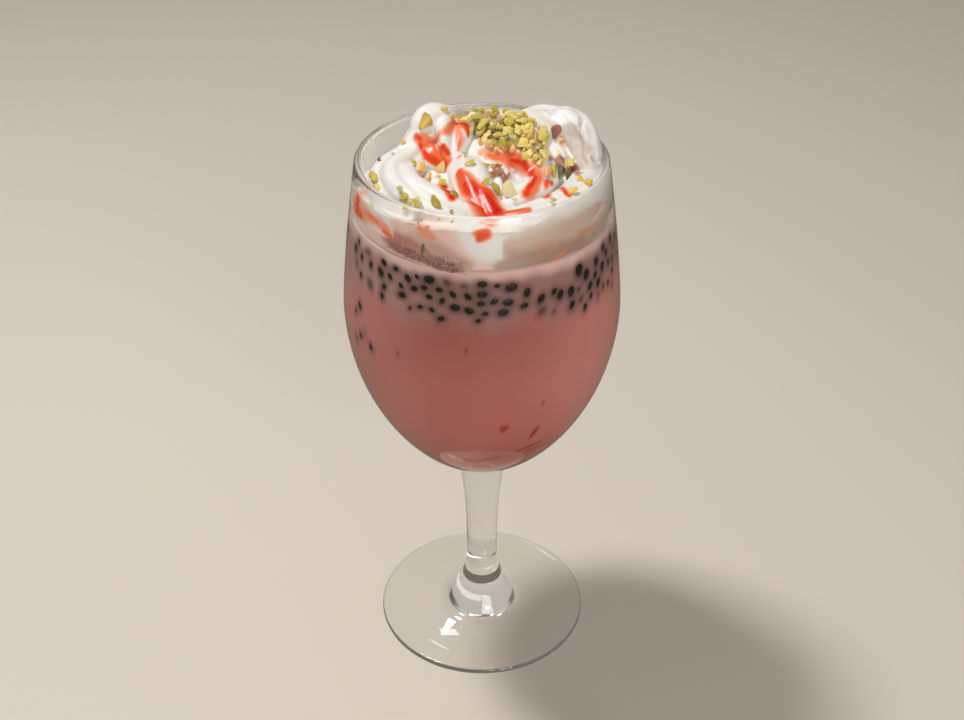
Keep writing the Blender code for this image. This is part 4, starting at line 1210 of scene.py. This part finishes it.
class Nuts:
    """Chopped nuts gathered into one mesh with a colour for each vertex, laid on the skin of the cream."""

    def __init__(self, surface, seed):
        self.surface, self.rng = surface, random.Random(seed)
        self.verts, self.faces, self.colours = [], [], []

    def jitter(self):
        return Vector([self.rng.uniform(-0.3, 0.3) for _ in range(3)])

    def lay(self, kind, spot, up, size, tilt, gloss=0.0):
        """Lays one chopped piece at a spot, turned by its tilt about the way it faces."""
        up = up.normalized()
        right = Vector((1, 0, 0))
        right = (right - up * right.dot(up)).normalized()
        turn = Matrix((right, up.cross(right), up)).transposed() @ Matrix.Rotation(tilt, 3, "Z")
        points, faces = chunk(self.rng, size)
        points = [spot + turn @ p for p in points]
        excess = max(0.0, max(p.z for p in points) - CREAM_TOP_Z)
        points = [p - Vector((0, 0, excess)) for p in points]
        first, second = NUT_COLOURS[kind]
        offset = Vector((self.rng.uniform(0, 90), 0, 0))
        shade = self.rng.uniform(0.88, 1.1)
        self.faces += [tuple(len(self.verts) + i for i in f) for f in faces]
        self.verts += points
        for p in points:
            blend = min(1.0, max(0.0, 0.35 + 1.1 * noise.noise((p - spot) / (1.3 * MM) + offset)))
            colour = [min(1.0, lerp(x, y, blend) * shade) for x, y in zip(first, second)]
            self.colours.append((*colour, gloss))

    def lay_heap(self):
        """Fills the heap's outline with pieces of every kind and size."""
        rng = self.rng
        (low_u, high_u), (low_v, high_v) = ((min(axis), max(axis)) for axis in zip(*HEAP_OUTLINE))
        for i in range(int((high_u - low_u) / HEAP_SPACING_PX) + 1):
            for j in range(int((high_v - low_v) / (0.7 * HEAP_SPACING_PX)) + 1):
                u = low_u + (i + 0.5 * (j % 2) + rng.uniform(-0.3, 0.3)) * HEAP_SPACING_PX
                v = low_v + (j + rng.uniform(-0.3, 0.3)) * 0.7 * HEAP_SPACING_PX
                kind = rng.choice(HEAP_KINDS)
                grade = rng.random() ** 2
                size = [lerp(small, large, grade) * MM for small, large in HEAP_SIZES]
                hit, normal, _, _ = self.surface.ray_cast(CAMERA_AT, camera_ray(u, v))
                if hit is not None and inside_outline(u, v, HEAP_OUTLINE):
                    spot = hit + normal * 0.35 * size[2]
                    self.lay(kind, spot, normal + self.jitter(), size, rng.uniform(*ANY_TILT))

    def lay_seen(self):
        """Lays the single pieces that stand out in the picture, leaning a little towards the viewer."""
        for kind, places in NUTS_SEEN.items():
            for u, v, length, width, tilt in places:
                size = (length * MM, width * MM, min(width, self.rng.uniform(1.4, 2.4)) * MM)
                way = camera_ray(u, v)
                hit, normal, _, _ = self.surface.ray_cast(CAMERA_AT, way)
                if hit is None:
                    continue
                rise = 0.2 * size[2] + (HEAP_RISE if inside_outline(u, v, HEAP_OUTLINE) else 0.0)
                spot = hit + normal * rise - way * 0.2 * size[2]
                self.lay(kind, spot, normal + NUT_LEAN + self.jitter(), size, math.radians(tilt))

    def lay_at_wall(self):
        """Lays the pieces that are pressed against the glass."""
        for kind, places in NUTS_AT_WALL.items():
            for u, v, length, width, tilt in places:
                spot = seen_on_wall(u, v)
                out = Vector((spot.x, spot.y, 0)).normalized()
                size = (length * MM, width * MM, 0.9 * MM)
                self.lay(kind, spot - out * 0.25 * MM, out, size, math.radians(tilt), 0.6)

    def lay_behind(self):
        """Scatters pieces over the cream behind the heap, where the picture doesn't show it."""
        rng = self.rng
        for i in range(BACK_NUTS):
            angle = i * math.pi * (3 - math.sqrt(5))
            share = math.sqrt((i + 0.5) / BACK_NUTS)
            across, back = 4 + 15 * share * math.cos(angle), 15 + 10 * share * math.sin(angle)
            start = Vector((across * MM, back * MM, ABOVE_ALL))
            hit, normal, _, _ = self.surface.ray_cast(start, Vector((0, 0, -1)))
            kind = rng.choice(HEAP_KINDS)
            size = [rng.uniform(small, large) * MM for small, large in BACK_SIZES]
            if hit is None or math.hypot(hit.x, hit.y) > RIM_R - WALL - 2 * MM:
                continue
            above = hit + normal * size[0]
            if self.surface.ray_cast(above, CAMERA_AT - above)[0] is not None:
                spot = hit + normal * 0.22 * size[2]
                self.lay(kind, spot, normal + self.jitter(), size, rng.uniform(*ANY_TILT))


def make_nuts(surface):
    heap = Nuts(surface, NUT_DRAWS)
    heap.lay_heap()
    heap.lay_seen()
    heap.lay_at_wall()
    heap.lay_behind()
    nuts = new_piece("chopped_pistachios", heap.verts, heap.faces)
    nuts.data.set_sharp_from_angle(angle=math.radians(25))
    dress(nuts, heap.colours, "pistachio", 0.5, 0.1, 0.5 * MM, relief=(2200.0, 5.0, 0.5, 0.3 * MM))
    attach(nuts, "root")


def make_floor():
    """A pale round floor, darker where it is mirrored in the glass than where it is seen through it."""
    rim = [on_ring(FLOOR_R, 2 * math.pi * j / FLOOR_SIDES, 0) for j in range(FLOOR_SIDES)]
    floor = new_piece("floor", rim, [tuple(range(FLOOR_SIDES))])
    m = Nodes(bpy.data.materials.new("floor"))
    ray = m.add("LightPath").outputs
    through = m.maths("MULTIPLY", ray["Is Transmission Ray"], FLOOR_SEEN_THROUGH)
    mirrored = m.maths("SUBTRACT", ray["Is Glossy Ray"], through, use_clamp=True)
    tone = m.mix(mirrored, (*FLOOR_COLOUR, 1), (*FLOOR_IN_GLOSS, 1), data_type="RGBA")
    m.set(Roughness=0.6, Base_Color=tone)
    floor.data.materials.append(m.owner)
    floor.location.z = FLOOR_Z


def area_light(name, at, target, size, power, colour):
    light = bpy.data.lights.new(name, "AREA")
    light.shape = "RECTANGLE"
    light.size, light.size_y = size
    light.energy = power
    light.color = colour
    obj = bpy.data.objects.new(name, light)
    obj.location = at
    obj.rotation_euler = (Vector(target) - Vector(at)).to_track_quat("-Z", "Y").to_euler()
    bpy.context.scene.collection.objects.link(obj)


def make_world():
    """A pale studio: dim where it lights or glosses things, brighter where it is seen, also through glass."""
    world = bpy.data.worlds.new("studio")
    w = Nodes(world)
    height = w.add("SeparateXYZ", {"Vector": w.add("TexCoord").outputs["Generated"]}).outputs["Z"]
    fade = {"Value": height, "From Max": WORLD_FADE, "To Min": WORLD_LOW, "To Max": WORLD_HIGH}
    seen = w.add("MapRange", fade).outputs["Result"]
    ray = w.add("LightPath").outputs
    in_gloss = w.mix(ray["Is Glossy Ray"], seen, WORLD_GLOSS)
    through_glass = w.mix(ray["Is Transmission Ray"], in_gloss, seen)
    strength = w.mix(ray["Is Diffuse Ray"], through_glass, WORLD_LIGHT)
    w.fill(w.tree.nodes["Background"], {"Color": WORLD_COLOUR, "Strength": strength})
    bpy.context.scene.world = world


def make_lights():
    area_light("key", *KEY_LIGHT)
    area_light("window", *WINDOW_LIGHT)
    spot, way, out = meet_bowl(*LAMP_SEEN)
    area_light("lamp", spot + way.reflect(out), spot, *LAMP_LIGHT)
    area_light("fill", *FILL_LIGHT)
    make_world()
    bpy.context.scene.view_settings.view_transform = "Standard"


def make_camera():
    camera = bpy.data.cameras.new("camera")
    camera.sensor_width = SENSOR_MM
    camera.lens = FOCAL_PX / PICTURE[0] * SENSOR_MM
    obj = bpy.data.objects.new("camera", camera)
    obj.location = CAMERA_AT
    obj.rotation_euler = (math.pi / 2 - CAMERA_DOWN, 0, 0)
    bpy.context.scene.collection.objects.link(obj)
    bpy.context.scene.camera = obj


make_camera()
make_floor()
make_lights()
make_glass()
make_drink()
cream_piece, cream_skin = make_cream()
make_foam(cream_piece)
make_smear()
make_nuts(cream_skin)
